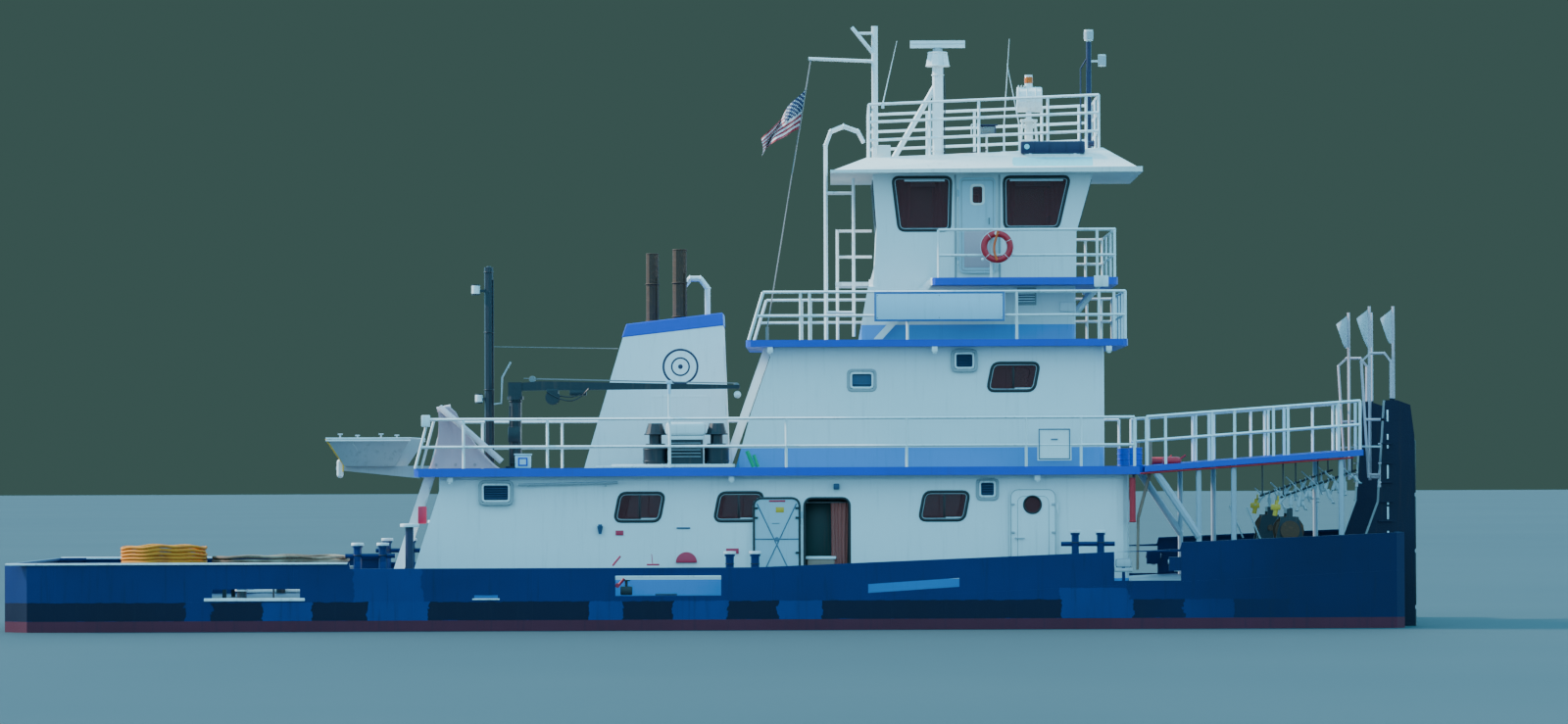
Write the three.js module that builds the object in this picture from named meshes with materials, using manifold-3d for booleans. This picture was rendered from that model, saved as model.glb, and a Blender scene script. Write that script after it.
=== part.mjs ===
// River towboat, in millimetres. +X is the bow, +Y is port and +Z is up.
// The origin is under the middle of the hull, on its flat bottom.
import * as THREE from 'three';
import { mergeVertices } from 'three/addons/utils/BufferGeometryUtils.js';
import Module from 'manifold-3d';

const wasm = await Module();
wasm.setup();

// Driving dimensions
const LENGTH = 29000;
const BEAM = 9140;
const GAP = 0.3;
const STERN_X = -LENGTH / 2;
const KNEE_X = LENGTH / 2;
const BOW_X = 14150;
const SIDE_Y = BEAM / 2;

// Main deck: level aft, then rising to the bow
const DECK_Z = 3050;
const SHEER_X = 2500;
const BOW_DECK_Z = 3620;

// Decks and houses: floor levels and half widths
const UPPER = { z: 5760, thick: 170, aft: -6150, fore: 8900, half: 3500 };
const TEXAS = { z: 8390, thick: 140, aft: 700, fore: 8600, half: 3100 };
const WING = { z: 9670, thick: 150, aft: 4530, fore: 8400, half: 3000 };
const EAVES_Z = 11860;
const MAIN_HOUSE = { half: 3150, wall: 80, corner: 260 };
const SECOND_HOUSE = { half: 2700, wall: 70, corner: 220 };
const PILOTHOUSE = { half: 2030, wall: 70, corner: 160 };

const DECK_CORNER = 200;

// Railings
const RAIL_R = 30;
const RAIL_HEIGHT = 1010;
const RAIL_SIDES = 4;

// Propellers and rudders, under the stern tunnels
const SHAFT_Y = 2200;
const SHAFT_Z = 1040;
const PROP_X = -11700;
const PROP_R = 860;
const TUNNEL_R = 960;
const TUNNEL_END_R = 160;
const TUNNEL_TURN_X = PROP_X + 900;

const group = new THREE.Group();
group.name = 'river_towboat';

// Paints and metals
function paint(color, roughness = 0.5, metalness = 0) {
  return new THREE.MeshStandardMaterial({ color, roughness, metalness });
}
const NAVY = paint(0x0a2c66);
const WHITE = paint(0xe9f0f2);
const DECK_BLUE = paint(0x0f4fc4);
const BLACK = paint(0x14171c, 0.6);
const BRONZE = paint(0x9a7240, 0.35, 0.9);
const ALUMINIUM = paint(0xa9b0b2, 0.4, 0.8);
const RUST = paint(0x3a2a22, 0.8);
const CANVAS = paint(0xc9b3b4, 0.95);
const ROPE_YELLOW = paint(0xd99a1c, 0.95);
const ROPE_BROWN = paint(0x8a6238, 0.95);
const FLAG_CLOTH = paint(0xb23a48, 0.9);

// Solids
function solid(geometry) {
  const bare = geometry.clone();
  for (const name of Object.keys(bare.attributes)) {
    if (name !== 'position') bare.deleteAttribute(name);
  }
  const welded = mergeVertices(bare, 1e-3);
  const vertProperties = new Float32Array(welded.attributes.position.array);
  const triVerts = new Uint32Array(welded.index.array);
  return new wasm.Manifold(new wasm.Mesh({ numProp: 3, vertProperties, triVerts }));
}

function union(list) {
  return list.reduce((sum, item) => sum.add(item));
}

function cut(body, ...tools) {
  return tools.reduce((rest, tool) => rest.subtract(tool), body);
}

function box(x0, x1, y0, y1, z0, z1) {
  const geometry = new THREE.BoxGeometry(x1 - x0, y1 - y0, z1 - z0);
  return solid(geometry.translate((x0 + x1) / 2, (y0 + y1) / 2, (z0 + z1) / 2));
}

function shapeOf(points) {
  return new THREE.Shape(points.map(([u, v]) => new THREE.Vector2(u, v)));
}

// An outline in X and Z, drawn out from y0 to y1
function sidePrism(points, y0, y1) {
  const geometry = new THREE.ExtrudeGeometry(shapeOf(points), { depth: y1 - y0, bevelEnabled: false });
  return solid(geometry.rotateX(Math.PI / 2).translate(0, y1, 0));
}

// An outline in X and Y, drawn out from z0 to z1
function planPrism(points, z0, z1) {
  const geometry = new THREE.ExtrudeGeometry(shapeOf(points), { depth: z1 - z0, bevelEnabled: false });
  return solid(geometry.translate(0, 0, z0));
}

// An outline in Y and Z, drawn out from x0 to x1
function crossPrism(points, x0, x1) {
  const geometry = new THREE.ExtrudeGeometry(shapeOf(points), { depth: x1 - x0, bevelEnabled: false });
  geometry.applyMatrix4(new THREE.Matrix4().set(0, 0, 1, 0, 1, 0, 0, 0, 0, 1, 0, 0, 0, 0, 0, 1));
  return solid(geometry.translate(x0, 0, 0));
}

// A rectangle with its corners rounded by short chords
function roundedRect(u0, u1, v0, v1, r, steps = 3) {
  const points = [];
  const corners = [[u1 - r, v1 - r, 0], [u0 + r, v1 - r, 1], [u0 + r, v0 + r, 2], [u1 - r, v0 + r, 3]];
  for (const [cu, cv, quarter] of corners) {
    for (let i = 0; i <= steps; i++) {
      const a = (quarter + i / steps) * Math.PI / 2;
      points.push([cu + r * Math.cos(a), cv + r * Math.sin(a)]);
    }
  }
  return points;
}

// A round bar between two points; it may taper to r2
function bar(a, b, r, sides = RAIL_SIDES, r2 = r) {
  const from = new THREE.Vector3(...a);
  const along = new THREE.Vector3(...b).sub(from);
  const geometry = new THREE.CylinderGeometry(r2, r, along.length(), sides);
  geometry.translate(0, along.length() / 2, 0);
  geometry.applyQuaternion(new THREE.Quaternion().setFromUnitVectors(
    new THREE.Vector3(0, 1, 0), along.clone().normalize()));
  return solid(geometry.translate(from.x, from.y, from.z));
}

// Bars along a list of points, joined at each turn by overlapping ends
function pipe(points, r, sides = RAIL_SIDES) {
  const parts = [];
  for (let i = 1; i < points.length; i++) {
    parts.push(bar(points[i - 1], points[i], r, sides));
    if (i < points.length - 1) {
      parts.push(solid(new THREE.OctahedronGeometry(r * 1.3, 0).translate(...points[i])));
    }
  }
  return union(parts);
}

// Flips a starboard shape to port
function mirrorY(body) {
  return body.mirror([0, 1, 0]);
}

function add(name, body, material) {
  const { numProp, vertProperties, triVerts } = body.getMesh();
  const geometry = new THREE.BufferGeometry();
  const position = new Float32Array(vertProperties.length / numProp * 3);
  for (let i = 0; i < position.length / 3; i++) {
    for (let k = 0; k < 3; k++) position[i * 3 + k] = vertProperties[i * numProp + k];
  }
  geometry.setAttribute('position', new THREE.BufferAttribute(position, 3));
  geometry.setIndex(new THREE.BufferAttribute(new Uint32Array(triVerts), 1));
  const mesh = new THREE.Mesh(geometry, material);
  mesh.name = name;
  group.add(mesh);
}

function addPair(name, body, material) {
  add(`${name}_starboard`, body, material);
  add(`${name}_port`, mirrorY(body), material);
}

// The main deck's height at a place along the hull
function deckZ(x) {
  const share = Math.max(0, (x - SHEER_X) / (BOW_X - SHEER_X));
  return DECK_Z + share * (BOW_DECK_Z - DECK_Z);
}

// Hull: bottom raked up at the bow and again over the propellers
const BOTTOM = [[-14500, 1750], [-11300, 1500], [-8300, 0], [9600, 0], [12800, 1050], [14150, 2050]];
const PLAN_CHAMFER = 520;

function hullPlan(inset) {
  const y = SIDE_Y - inset;
  const aft = STERN_X + inset;
  const fore = BOW_X - inset;
  const c = PLAN_CHAMFER;
  return [[aft + c, -y], [fore - c / 3, -y], [fore, -y + c / 3], [fore, y - c / 3],
    [fore - c / 3, y], [aft + c, y], [aft, y - c], [aft, -y + c]];
}

// Cutting tools reach this far past the hull, along it and across it
const FAR_X = 16000;
const FAR_Y = 6000;

// Everything that stands on the main deck is cut back by this, which leaves the running gap
const deckCutter = sidePrism(
  [[-FAR_X, -500], [FAR_X, -500], [FAR_X, deckZ(FAR_X) + GAP],
    [SHEER_X, DECK_Z + GAP], [-FAR_X, DECK_Z + GAP]],
  -FAR_Y, FAR_Y);

function seat(body) {
  return body.subtract(deckCutter);
}

const BILGE = 420;
const hullSection = [[-SIDE_Y + BILGE, 0], [SIDE_Y - BILGE, 0], [SIDE_Y, BILGE], [SIDE_Y, 5000],
  [-SIDE_Y, 5000], [-SIDE_Y, BILGE]];
const hullProfile = [...BOTTOM, [BOW_X, BOW_DECK_Z], [SHEER_X, DECK_Z], [STERN_X, DECK_Z]];
let hull = sidePrism(hullProfile, -SIDE_Y, SIDE_Y);
hull = hull.intersect(planPrism(hullPlan(0), -10, 5000));
hull = hull.intersect(crossPrism(hullSection, -FAR_X, FAR_X));
for (const side of [-1, 1]) {
  const y = side * SHAFT_Y;
  hull = cut(hull,
    bar([-FAR_X, y, SHAFT_Z], [TUNNEL_TURN_X, y, SHAFT_Z], TUNNEL_R, 20),
    bar([TUNNEL_TURN_X - 10, y, SHAFT_Z], [-8000, y, 300], TUNNEL_R, 20, TUNNEL_END_R));
}

// Fixed shaft strut ahead of each propeller, part of the hull
const HUB = { aft: 260, fore: 240 };
const BEARING = { r: 150, half: 170 };
const STRUT_X = PROP_X + HUB.fore + GAP + BEARING.half;
const SHAFT_R = 85;
for (const side of [-1, 1]) {
  const y = side * SHAFT_Y;
  const strut = union([
    bar([STRUT_X - BEARING.half, y, SHAFT_Z], [STRUT_X + BEARING.half, y, SHAFT_Z], BEARING.r, 12),
    box(STRUT_X - 120, STRUT_X + 120, y - 30, y + 30, SHAFT_Z + 60, SHAFT_Z + TUNNEL_R + 120)]);
  hull = cut(hull.add(strut), bar([STRUT_X - 300, y, SHAFT_Z], [-9200, y, SHAFT_Z], SHAFT_R + 8, 12));
}

// Rudders: X of the stock, its distance from the shaft line, tops of blade and stock, and the blade's reach
const STEERING = { x: -13050, off: 0, bladeTop: 1600, stockTop: 2300, fore: 300, aft: 880 };
const FLANKING = { x: -10650, off: 620, bladeTop: 800, stockTop: 1980, fore: 380, aft: 420 };
const STOCK_R = 70;
const RUDDER_FOOT = 150;
const rudderStocks = [-1, 1].flatMap((side) => [
  { spec: STEERING, y: side * SHAFT_Y },
  { spec: FLANKING, y: side * (SHAFT_Y + FLANKING.off) },
  { spec: FLANKING, y: side * (SHAFT_Y - FLANKING.off) }]);
for (const { spec, y } of rudderStocks) {
  hull = cut(hull, bar([spec.x, y, 900], [spec.x, y, spec.stockTop + GAP], STOCK_R + 6, 12));
}
add('hull', hull, NAVY);

// Bulwark: plating along the deck edge, with its cap, its openings and the bitts beside it
const PLATE = 60;
const CAP = { wide: 130, thick: 50 };
// Columns: X and height of the bulwark's top edge
const BULWARK_TOP = [[-14500, 3840], [-7400, 3840], [-7380, 3720], [900, 3720], [7500, 3980], [9560, 4060],
  [9600, 4200], [14400, 4400]];
// Columns: X from and to, Z of the lower and upper edge, and how far Z rises towards the bow
const BULWARK_OPENINGS = [
  [-10200, -8400, 3120, 3310, 0],
  [-4840, -4360, 3090, 3170, 0],
  [-1960, 200, 3150, 3540, 0],
  [3200, 5060, 3190, 3370, 120],
];
const NOTCH = { aft: 8220, fore: 9580, sill: 3420 };

function belowTop(drop) {
  return [[-15000, 2000], [15000, 2000], [15000, 4430 - drop],
    ...BULWARK_TOP.map(([x, z]) => [x, z - drop]).reverse(), [-15000, 3840 - drop]];
}

const ring = planPrism(hullPlan(0), 2000, 5000).subtract(planPrism(hullPlan(PLATE), 1900, 5100));
const capRing = planPrism(hullPlan(0), 2000, 5000).subtract(planPrism(hullPlan(CAP.wide), 1900, 5100));
const plating = ring.intersect(sidePrism(belowTop(10), -6000, 6000));
const capBand = sidePrism(belowTop(0), -6000, 6000).subtract(sidePrism(belowTop(CAP.thick), -6100, 6100));
let bulwark = plating.add(capRing.intersect(capBand));
// The bow stays open between the push knees
bulwark = cut(bulwark, box(13000, 15000, -3300, 3300, 1900, 5100));
for (const [x0, x1, z0, z1, rise] of BULWARK_OPENINGS) {
  bulwark = cut(bulwark, sidePrism([[x0, z0], [x1, z0 + rise], [x1, z1 + rise], [x0, z1]], -6000, 6000));
}
bulwark = cut(bulwark, box(NOTCH.aft, NOTCH.fore, -6000, 6000, NOTCH.sill, 4010));

// One bollard with a wider cap
function bollard(x, y, z0, z1, r) {
  return bar([x, y, z0 - 400], [x, y, z1 - 60], r, 8).add(bar([x, y, z1 - 70], [x, y, z1], r * 1.25, 8));
}

// Bitts stand on doubler plates that reach the plating, so they are part of the bulwark
const BITT_Y = -4180;

function bittPlate(x0, x1, inner) {
  const z = deckZ((x0 + x1) / 2);
  return box(x0, x1, -SIDE_Y + PLATE / 2, inner, z - 300, z + 60);
}

// Columns: X of the two bollards, their foot, top and radius, X of the plate's ends, the crossbar's height
const BITTS = [
  [[370, 890], DECK_Z, 4010, 85, [150, 1110], null],
  [[7440, 7960], 3350, 4420, 75, [7150, 8250], 4170],
  [[-7250, -6730], DECK_Z, 4210, 85, [-7500, -6480], 3980],
];
const BITT_PLATE_Y = -3980;
const CROSSBAR_R = 48;
const bittParts = BITTS.flatMap(([places, foot, top, r, [x0, x1], crossbar]) => [
  ...places.map((x) => bollard(x, BITT_Y, foot, top, r)),
  bittPlate(x0, x1, BITT_PLATE_Y),
  ...(crossbar ? [bar([x0, BITT_Y, crossbar], [x1, BITT_Y, crossbar], CROSSBAR_R, 8)] : [])]);

// Kevel blocks at both ends of the notch. Columns: X from and to, reach inwards, Z from and to
const KEVELS = [[8260, 8560, 150, 3700, 3860], [8380, 8440, 130, 3400, 3800], [9340, 9640, 150, 3620, 3900]];
const kevelParts = KEVELS.map(
  ([x0, x1, reach, z0, z1]) => box(x0, x1, -SIDE_Y + 10, -SIDE_Y + reach, z0, z1));
const starboardBitts = union([...bittParts, ...kevelParts]);
bulwark = union([bulwark, starboardBitts, mirrorY(starboardBitts)]);
add('bulwark', seat(bulwark), NAVY);

// Push knees: a deep upright plate box on each bow, with its fender face and the hoop above it
const KNEE = { y: 2700, half: 260, top: 7100, foot: 1500 };
const kneeProfile = [[KNEE_X, KNEE.foot], [KNEE_X, 6370], [14420, 7000], [14150, KNEE.top], [13900, KNEE.top],
  [13760, 5000], [13500, 4300], [13350, 3400], [BOW_X, 2900], [BOW_X, KNEE.foot + 350]];
const hullCutter = sidePrism([[-15000, -500], [BOW_X + GAP, -500], [BOW_X + GAP, deckZ(BOW_X) + GAP],
  [SHEER_X, DECK_Z + GAP], [-15000, DECK_Z + GAP]], -6000, 6000);
const HOOP = { r: 28, y: -KNEE.y - 180 };
const hoopLine = [[13560, 5500], [13420, 7900], [13600, 8070], [13900, 8070], [14030, 7900], [14030, 7000]];
const POLE = { r: 32, y: -KNEE.y + 150, top: 9050 };
const kneeStarboard = union([
  cut(sidePrism(kneeProfile, -KNEE.y - KNEE.half, -KNEE.y + KNEE.half), hullCutter),
  pipe(hoopLine.map(([x, z]) => [x, HOOP.y, z]), HOOP.r),
  bar([13490, HOOP.y, 6700], [14030, HOOP.y, 6700], HOOP.r),
  bar([13560, HOOP.y, 5560], [13900, HOOP.y, 5560], HOOP.r),
  bar([13620, POLE.y, 5450], [13620, POLE.y, POLE.top], POLE.r),
  bar([13620, POLE.y, 5500], [13900, POLE.y, 5500], HOOP.r),
  bar([14110, POLE.y, 6900], [14110, POLE.y, POLE.top], POLE.r)]);
addPair('push_knee', kneeStarboard, NAVY);

// A hollow house: its side outline drawn across, less the room inside, with its corners rounded in plan
function house(outline, room, size, plan) {
  const [aft, fore] = plan;
  const inner = size.half - size.wall;
  const outerPlan = roundedRect(aft, fore, -size.half, size.half, size.corner);
  const innerPlan = roundedRect(aft + size.wall, fore - size.wall, -inner, inner, size.corner - size.wall);
  const shell = sidePrism(outline, -size.half, size.half).intersect(planPrism(outerPlan, 0, 15000));
  return shell.subtract(sidePrism(room, -inner, inner).intersect(planPrism(innerPlan, -10, 15010)));
}

// A window or door hole through one side wall, or through both
function sideHole(points, sides = [-1, 1]) {
  const reach = (side) => [side * 1000, side * 4000].sort((a, b) => a - b);
  return union(sides.map((side) => sidePrism(points, ...reach(side))));
}

// A window that leans forward at its top by lean
function leaningWindow(x0, x1, z0, z1, lean) {
  const r = 90;
  return [[x0, z0 + r], [x0 + r * 0.3, z0 + r * 0.3], [x0 + r, z0],
    [x1 - lean - r, z0], [x1 - lean - r * 0.2, z0 + r * 0.4], [x1, z1 - r],
    [x1 - r * 0.3, z1 - r * 0.3], [x1 - r, z1], [x0 + lean + r, z1], [x0 + lean + r * 0.2, z1 - r * 0.4]];
}

// Main deckhouse
const MAIN_TOP = UPPER.z - UPPER.thick - GAP;
const mainOutline = [[-6420, 2900], [8600, 2900], [8600, MAIN_TOP], [-5640, MAIN_TOP], [-5640, 5300]];
const mainRoom = [[-6330, 2800], [8520, 2800], [8520, 5900], [-5560, 5900], [-5560, 5300]];
let mainHouse = house(mainOutline, mainRoom, MAIN_HOUSE, [-6420, 8600]);
const WINDOW_LEAN = 110;
// Columns: X from and to, Z from and to
const MAIN_WINDOWS = [[-2010, -1000, 4670, 5230], [50, 1040, 4670, 5230], [4280, 5290, 4670, 5230]];
const MAIN_UNITS = [[-4780, -4150, 5040, 5470], [5480, 5870, 5100, 5490]];
for (const [x0, x1, z0, z1] of MAIN_WINDOWS) {
  mainHouse = cut(mainHouse, sideHole(leaningWindow(x0, x1, z0, z1, WINDOW_LEAN)));
}
for (const [x0, x1, z0, z1] of MAIN_UNITS) {
  mainHouse = cut(mainHouse, sideHole([[x0, z0], [x1, z0], [x1, z1], [x0, z1]]));
}
const DOORWAY = { x0: 1910, x1: 2820, z0: 3300, z1: 5110, r: 140 };
const FORE_DOORWAY = { x0: 6170, x1: 7060, z0: 3520, z1: 5270, r: 140 };
function doorHole({ x0, x1, z0, z1, r }, grow = 0) {
  return roundedRect(x0 - grow, x1 + grow, z0 - grow, z1 + grow, r + grow);
}
mainHouse = cut(mainHouse, sideHole(doorHole(DOORWAY)), sideHole(doorHole(FORE_DOORWAY), [-1]));
for (const y of [-1500, 1500]) {
  mainHouse = cut(mainHouse, box(8400, 8700, y - 400, y + 400, 4670, 5230));
}

// Hinges: each knuckle of a door stands on one that a bracket holds off the wall
const LEAF = { thick: 44, off: 46, lap: 40 };
const HINGE_R = 16;
const HINGE_OFF = LEAF.lap + 24;
const KNUCKLE = 150;
const MAIN_HINGE_X = DOORWAY.x0 - HINGE_OFF;
const MAIN_KNUCKLES = [3550, 4700];
const FORE_HINGE_X = FORE_DOORWAY.x1 + HINGE_OFF;
const FORE_KNUCKLES = [3700, 4860];
function wallKnuckles(wallY, hingeX, knuckleZ) {
  const middle = -wallY - LEAF.off - LEAF.thick / 2;
  return union(knuckleZ.map((z) => bar([hingeX, middle, z - 70], [hingeX, middle, z - GAP], HINGE_R, 8)
    .add(box(hingeX - 8, hingeX + 8, middle, -wallY + 20, z - 60, z - 20))));
}
const mainKnuckles = wallKnuckles(MAIN_HOUSE.half, MAIN_HINGE_X, MAIN_KNUCKLES);
const foreKnuckles = wallKnuckles(MAIN_HOUSE.half, FORE_HINGE_X, FORE_KNUCKLES);
mainHouse = union([mainHouse, mainKnuckles, mirrorY(mainKnuckles), foreKnuckles]);
add('main_deckhouse', seat(mainHouse), WHITE);

// Upper deck, with the stair that hangs from its aft edge
const upperSlab = box(UPPER.aft, UPPER.fore, -UPPER.half, UPPER.half, UPPER.z - UPPER.thick, UPPER.z);
const STAIR = { foot: [-6760, 3080], head: [-5900, 5640], half: 330, y: -1900, tread: 8 };
const STRINGER = { deep: 90, half: 15 };
const TREAD = { half: 80, thick: 22 };
function stair({ foot, head, half, y, tread }) {
  const stringer = [[foot[0] - STRINGER.deep, foot[1]], [foot[0] + STRINGER.deep, foot[1]],
    [head[0] + STRINGER.deep, head[1]], [head[0] - STRINGER.deep, head[1]]];
  const parts = [y - half, y + half].map(
    (side) => sidePrism(stringer, side - STRINGER.half, side + STRINGER.half));
  for (let i = 1; i <= tread; i++) {
    const share = i / (tread + 1);
    const x = foot[0] + share * (head[0] - foot[0]);
    const z = foot[1] + share * (head[1] - foot[1]);
    parts.push(box(x - TREAD.half, x + TREAD.half, y - half, y + half, z - TREAD.thick, z));
  }
  return union(parts);
}
add('upper_deck', upperSlab.intersect(
  planPrism(roundedRect(UPPER.aft, UPPER.fore, -UPPER.half, UPPER.half, DECK_CORNER), 5000, 6000)),
  DECK_BLUE);
const houseAft = [
  [-6420 - GAP, 2900], [-5640 - GAP, 5300], [-5640 - GAP, 6000], [-5000, 6000], [-5000, 2900]];
add('main_aft_stair', cut(seat(stair(STAIR)),
  box(-7000, -5000, -4000, 4000, UPPER.z - UPPER.thick - GAP, 6500), sidePrism(houseAft, -4000, 4000)),
  WHITE);

// Weather doors: a leaf in front of the wall, on knuckles that stand on the wall's own
function hingedDoor(hole, wallY, hingeX, knuckleZ) {
  const y = -wallY - LEAF.off - LEAF.thick;
  const middle = y + LEAF.thick / 2;
  const edge = hingeX < hole.x0 ? hole.x0 : hole.x1;
  const parts = [sidePrism(doorHole(hole, LEAF.lap), y, y + LEAF.thick)];
  for (const z of knuckleZ) {
    parts.push(bar([hingeX, middle, z], [hingeX, middle, z + KNUCKLE], HINGE_R, 8));
    const [x0, x1] = [edge, hingeX].sort((a, b) => a - b);
    parts.push(box(x0, x1, middle - 8, middle + 8, z + 20, z + KNUCKLE - 20));
  }
  return union(parts);
}
const openHole = { ...DOORWAY, x0: 2 * MAIN_HINGE_X - DOORWAY.x1, x1: 2 * MAIN_HINGE_X - DOORWAY.x0 };
addPair('main_door', hingedDoor(openHole, MAIN_HOUSE.half, MAIN_HINGE_X, MAIN_KNUCKLES), WHITE);

const PORTHOLE = { x: 6600, z: 4970, r: 165 };
add('fore_door_starboard', cut(hingedDoor(FORE_DOORWAY, MAIN_HOUSE.half, FORE_HINGE_X, FORE_KNUCKLES),
  bar([PORTHOLE.x, -4000, PORTHOLE.z], [PORTHOLE.x, -3000, PORTHOLE.z], PORTHOLE.r, 16)), WHITE);

// Bow walkways, rising from the upper deck to the push knees, each on posts and a brace
const WALK = { aft: UPPER.fore + GAP, fore: 13400, inner: 2250, thick: 120, rise: 320 };
function walkZ(x) {
  return UPPER.z + Math.max(0, (x - WALK.aft) / (WALK.fore - WALK.aft)) * WALK.rise;
}
const walkSlab = sidePrism([[WALK.aft, UPPER.z - WALK.thick], [WALK.fore, walkZ(WALK.fore) - WALK.thick],
  [WALK.fore, walkZ(WALK.fore)], [WALK.aft, UPPER.z]], -UPPER.half, -WALK.inner);
const POST_X = [10020, 10740, 12950];
const POST_Y = -UPPER.half + 120;
const walkPosts = POST_X.map((x) => bar([x, POST_Y, 3000], [x, POST_Y, walkZ(x) - 60], 55, 8));
const walkBrace = bar([9150, POST_Y, 5620], [10020, POST_Y, 4300], 80, 8);

// Railings: posts at the listed places, a top bar and lower bars that follow the deck
function railing(points, heights, postAt, deck) {
  const lift = (p, h) => [p[0], p[1], deck(p[0]) + h];
  const parts = heights.map((h) => pipe(points.map((p) => lift(p, h)), RAIL_R));
  for (const p of postAt) {
    const top = p[2] ?? p[0];
    parts.push(bar([p[0], p[1], deck(p[0]) + GAP], [top, p[1], deck(top) + heights[0]], RAIL_R));
  }
  return union(parts);
}

const RAIL_Y = -UPPER.half + 60;
const UPPER_POSTS = [-5120, -3390, -870, 1530, 4010, 6470, 7600, 8700];
const upperDeckLevel = () => UPPER.z;
const UPPER_TOP = UPPER.z + RAIL_HEIGHT;
const UPPER_MID = UPPER.z + 440;
// The aft rail leans: X of its foot, its middle bar and its top, and where it ends at the stair
const AFT_RAIL = { foot: -6120, mid: -6000, top: -5850, endY: -1500 };
const upperRail = union([
  railing([[AFT_RAIL.top, RAIL_Y], [8700, RAIL_Y]], [RAIL_HEIGHT, UPPER_MID - UPPER.z],
    UPPER_POSTS.map((x) => [x, RAIL_Y]), upperDeckLevel),
  bar([AFT_RAIL.foot, RAIL_Y, UPPER.z + GAP], [AFT_RAIL.top, RAIL_Y, UPPER_TOP], RAIL_R),
  bar([AFT_RAIL.mid, RAIL_Y, UPPER_MID], [AFT_RAIL.top + RAIL_R, RAIL_Y, UPPER_MID], RAIL_R),
  bar([AFT_RAIL.top, RAIL_Y, UPPER_TOP], [AFT_RAIL.top, AFT_RAIL.endY, UPPER_TOP], RAIL_R),
  bar([AFT_RAIL.mid, RAIL_Y, UPPER_MID], [AFT_RAIL.mid, AFT_RAIL.endY, UPPER_MID], RAIL_R),
  bar([AFT_RAIL.foot, AFT_RAIL.endY, UPPER.z + GAP], [AFT_RAIL.top, AFT_RAIL.endY, UPPER_TOP], RAIL_R),
  box(6700, 7400, RAIL_Y - 15, RAIL_Y + 15, 5880, 6560),
  box(6440, 6720, RAIL_Y - 12, RAIL_Y + 12, 6180, 6230),
  box(7380, 7620, RAIL_Y - 12, RAIL_Y + 12, 6180, 6230)]);
addPair('upper_rail', cut(upperRail, box(-7000, 9500, -4000, 4000, 5000, UPPER.z + GAP)), WHITE);

const BOW_POSTS = [8960, 9340, 10300, 10760, 11560, 11860, 12900, 13340];
const INNER_POSTS = [9000, 10300, 11860, 13340];
const INNER_Y = -WALK.inner - 60;
const WALK_HEIGHTS = [RAIL_HEIGHT, 520];
const walkEnd = BOW_POSTS.at(-1);
const walkEndZ = walkZ(walkEnd) + RAIL_HEIGHT;
const walkRail = railing([[BOW_POSTS[0], RAIL_Y], [walkEnd, RAIL_Y]], WALK_HEIGHTS,
  BOW_POSTS.map((x) => [x, RAIL_Y]), walkZ);
const innerRail = railing([[INNER_POSTS[0], INNER_Y], [walkEnd, INNER_Y]], WALK_HEIGHTS,
  INNER_POSTS.map((x) => [x, INNER_Y]), walkZ);
const railEnd = bar([walkEnd, RAIL_Y, walkEndZ], [walkEnd, INNER_Y, walkEndZ], RAIL_R);
const walkParts = [walkSlab, ...walkPosts, walkBrace, walkRail, innerRail, railEnd];
addPair('bow_walkway', seat(union(walkParts)), DECK_BLUE);

// Second house
const SECOND_TOP = TEXAS.z - TEXAS.thick - GAP;
const SECOND_FOOT = UPPER.z + GAP;
const secondOutline = [[480, SECOND_FOOT], [8120, SECOND_FOOT], [8120, SECOND_TOP], [1290, SECOND_TOP],
  [1200, 8050], [800, 6900]];
const secondRoom = [[560, 5700], [8050, 5700], [8050, 8400], [1370, 8400], [1280, 8050], [880, 6900]];
let secondHouse = house(secondOutline, secondRoom, SECOND_HOUSE, [440, 8120]);
secondHouse = cut(secondHouse,
  sideHole([[2830, 7360], [3360, 7360], [3360, 7750], [2830, 7750]]),
  sideHole([[4990, 7760], [5450, 7760], [5450, 8150], [4990, 8150]]),
  sideHole(leaningWindow(5710, 6760, 7340, 7890, WINDOW_LEAN)),
  ...[-1350, 0, 1350].map((y) => box(8000, 8200, y - 420, y + 420, 7300, 7900)));
add('second_house', secondHouse, WHITE);

// Texas deck, with the ladder that stands behind the second house
const texasPlan = roundedRect(TEXAS.aft, TEXAS.fore, -TEXAS.half, TEXAS.half, DECK_CORNER);
add('texas_deck', planPrism(texasPlan, TEXAS.z - TEXAS.thick, TEXAS.z), DECK_BLUE);
const texasStair = stair({ foot: [280, UPPER.z + 20], head: [1170, 8300], half: 300, y: -1900, tread: 8 });
add('texas_stair', cut(texasStair,
  box(-1000, 2000, -4000, 0, 5000, SECOND_FOOT), box(-1000, 2000, -4000, 0, SECOND_TOP, 9000)), WHITE);

const TEXAS_RAIL = { y: -TEXAS.half + 60, aft: 1060, fore: 8540, heights: [RAIL_HEIGHT - 20, 500] };
const texasLevel = () => TEXAS.z;
const TEXAS_POSTS = [1830, 2020, 4040, 6300, 8000, 8310];
const [texasTop, texasMid] = TEXAS_RAIL.heights.map((height) => TEXAS.z + height);
const texasSide = union([
  railing([[TEXAS_RAIL.aft, TEXAS_RAIL.y], [TEXAS_RAIL.fore, TEXAS_RAIL.y]], TEXAS_RAIL.heights,
    TEXAS_POSTS.map((x) => [x, TEXAS_RAIL.y]), texasLevel),
  bar([760, TEXAS_RAIL.y, TEXAS.z + GAP], [TEXAS_RAIL.aft, TEXAS_RAIL.y, texasTop], RAIL_R + 6),
  bar([900, TEXAS_RAIL.y, texasMid], [TEXAS_RAIL.aft + 20, TEXAS_RAIL.y, texasMid], RAIL_R)]);
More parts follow.
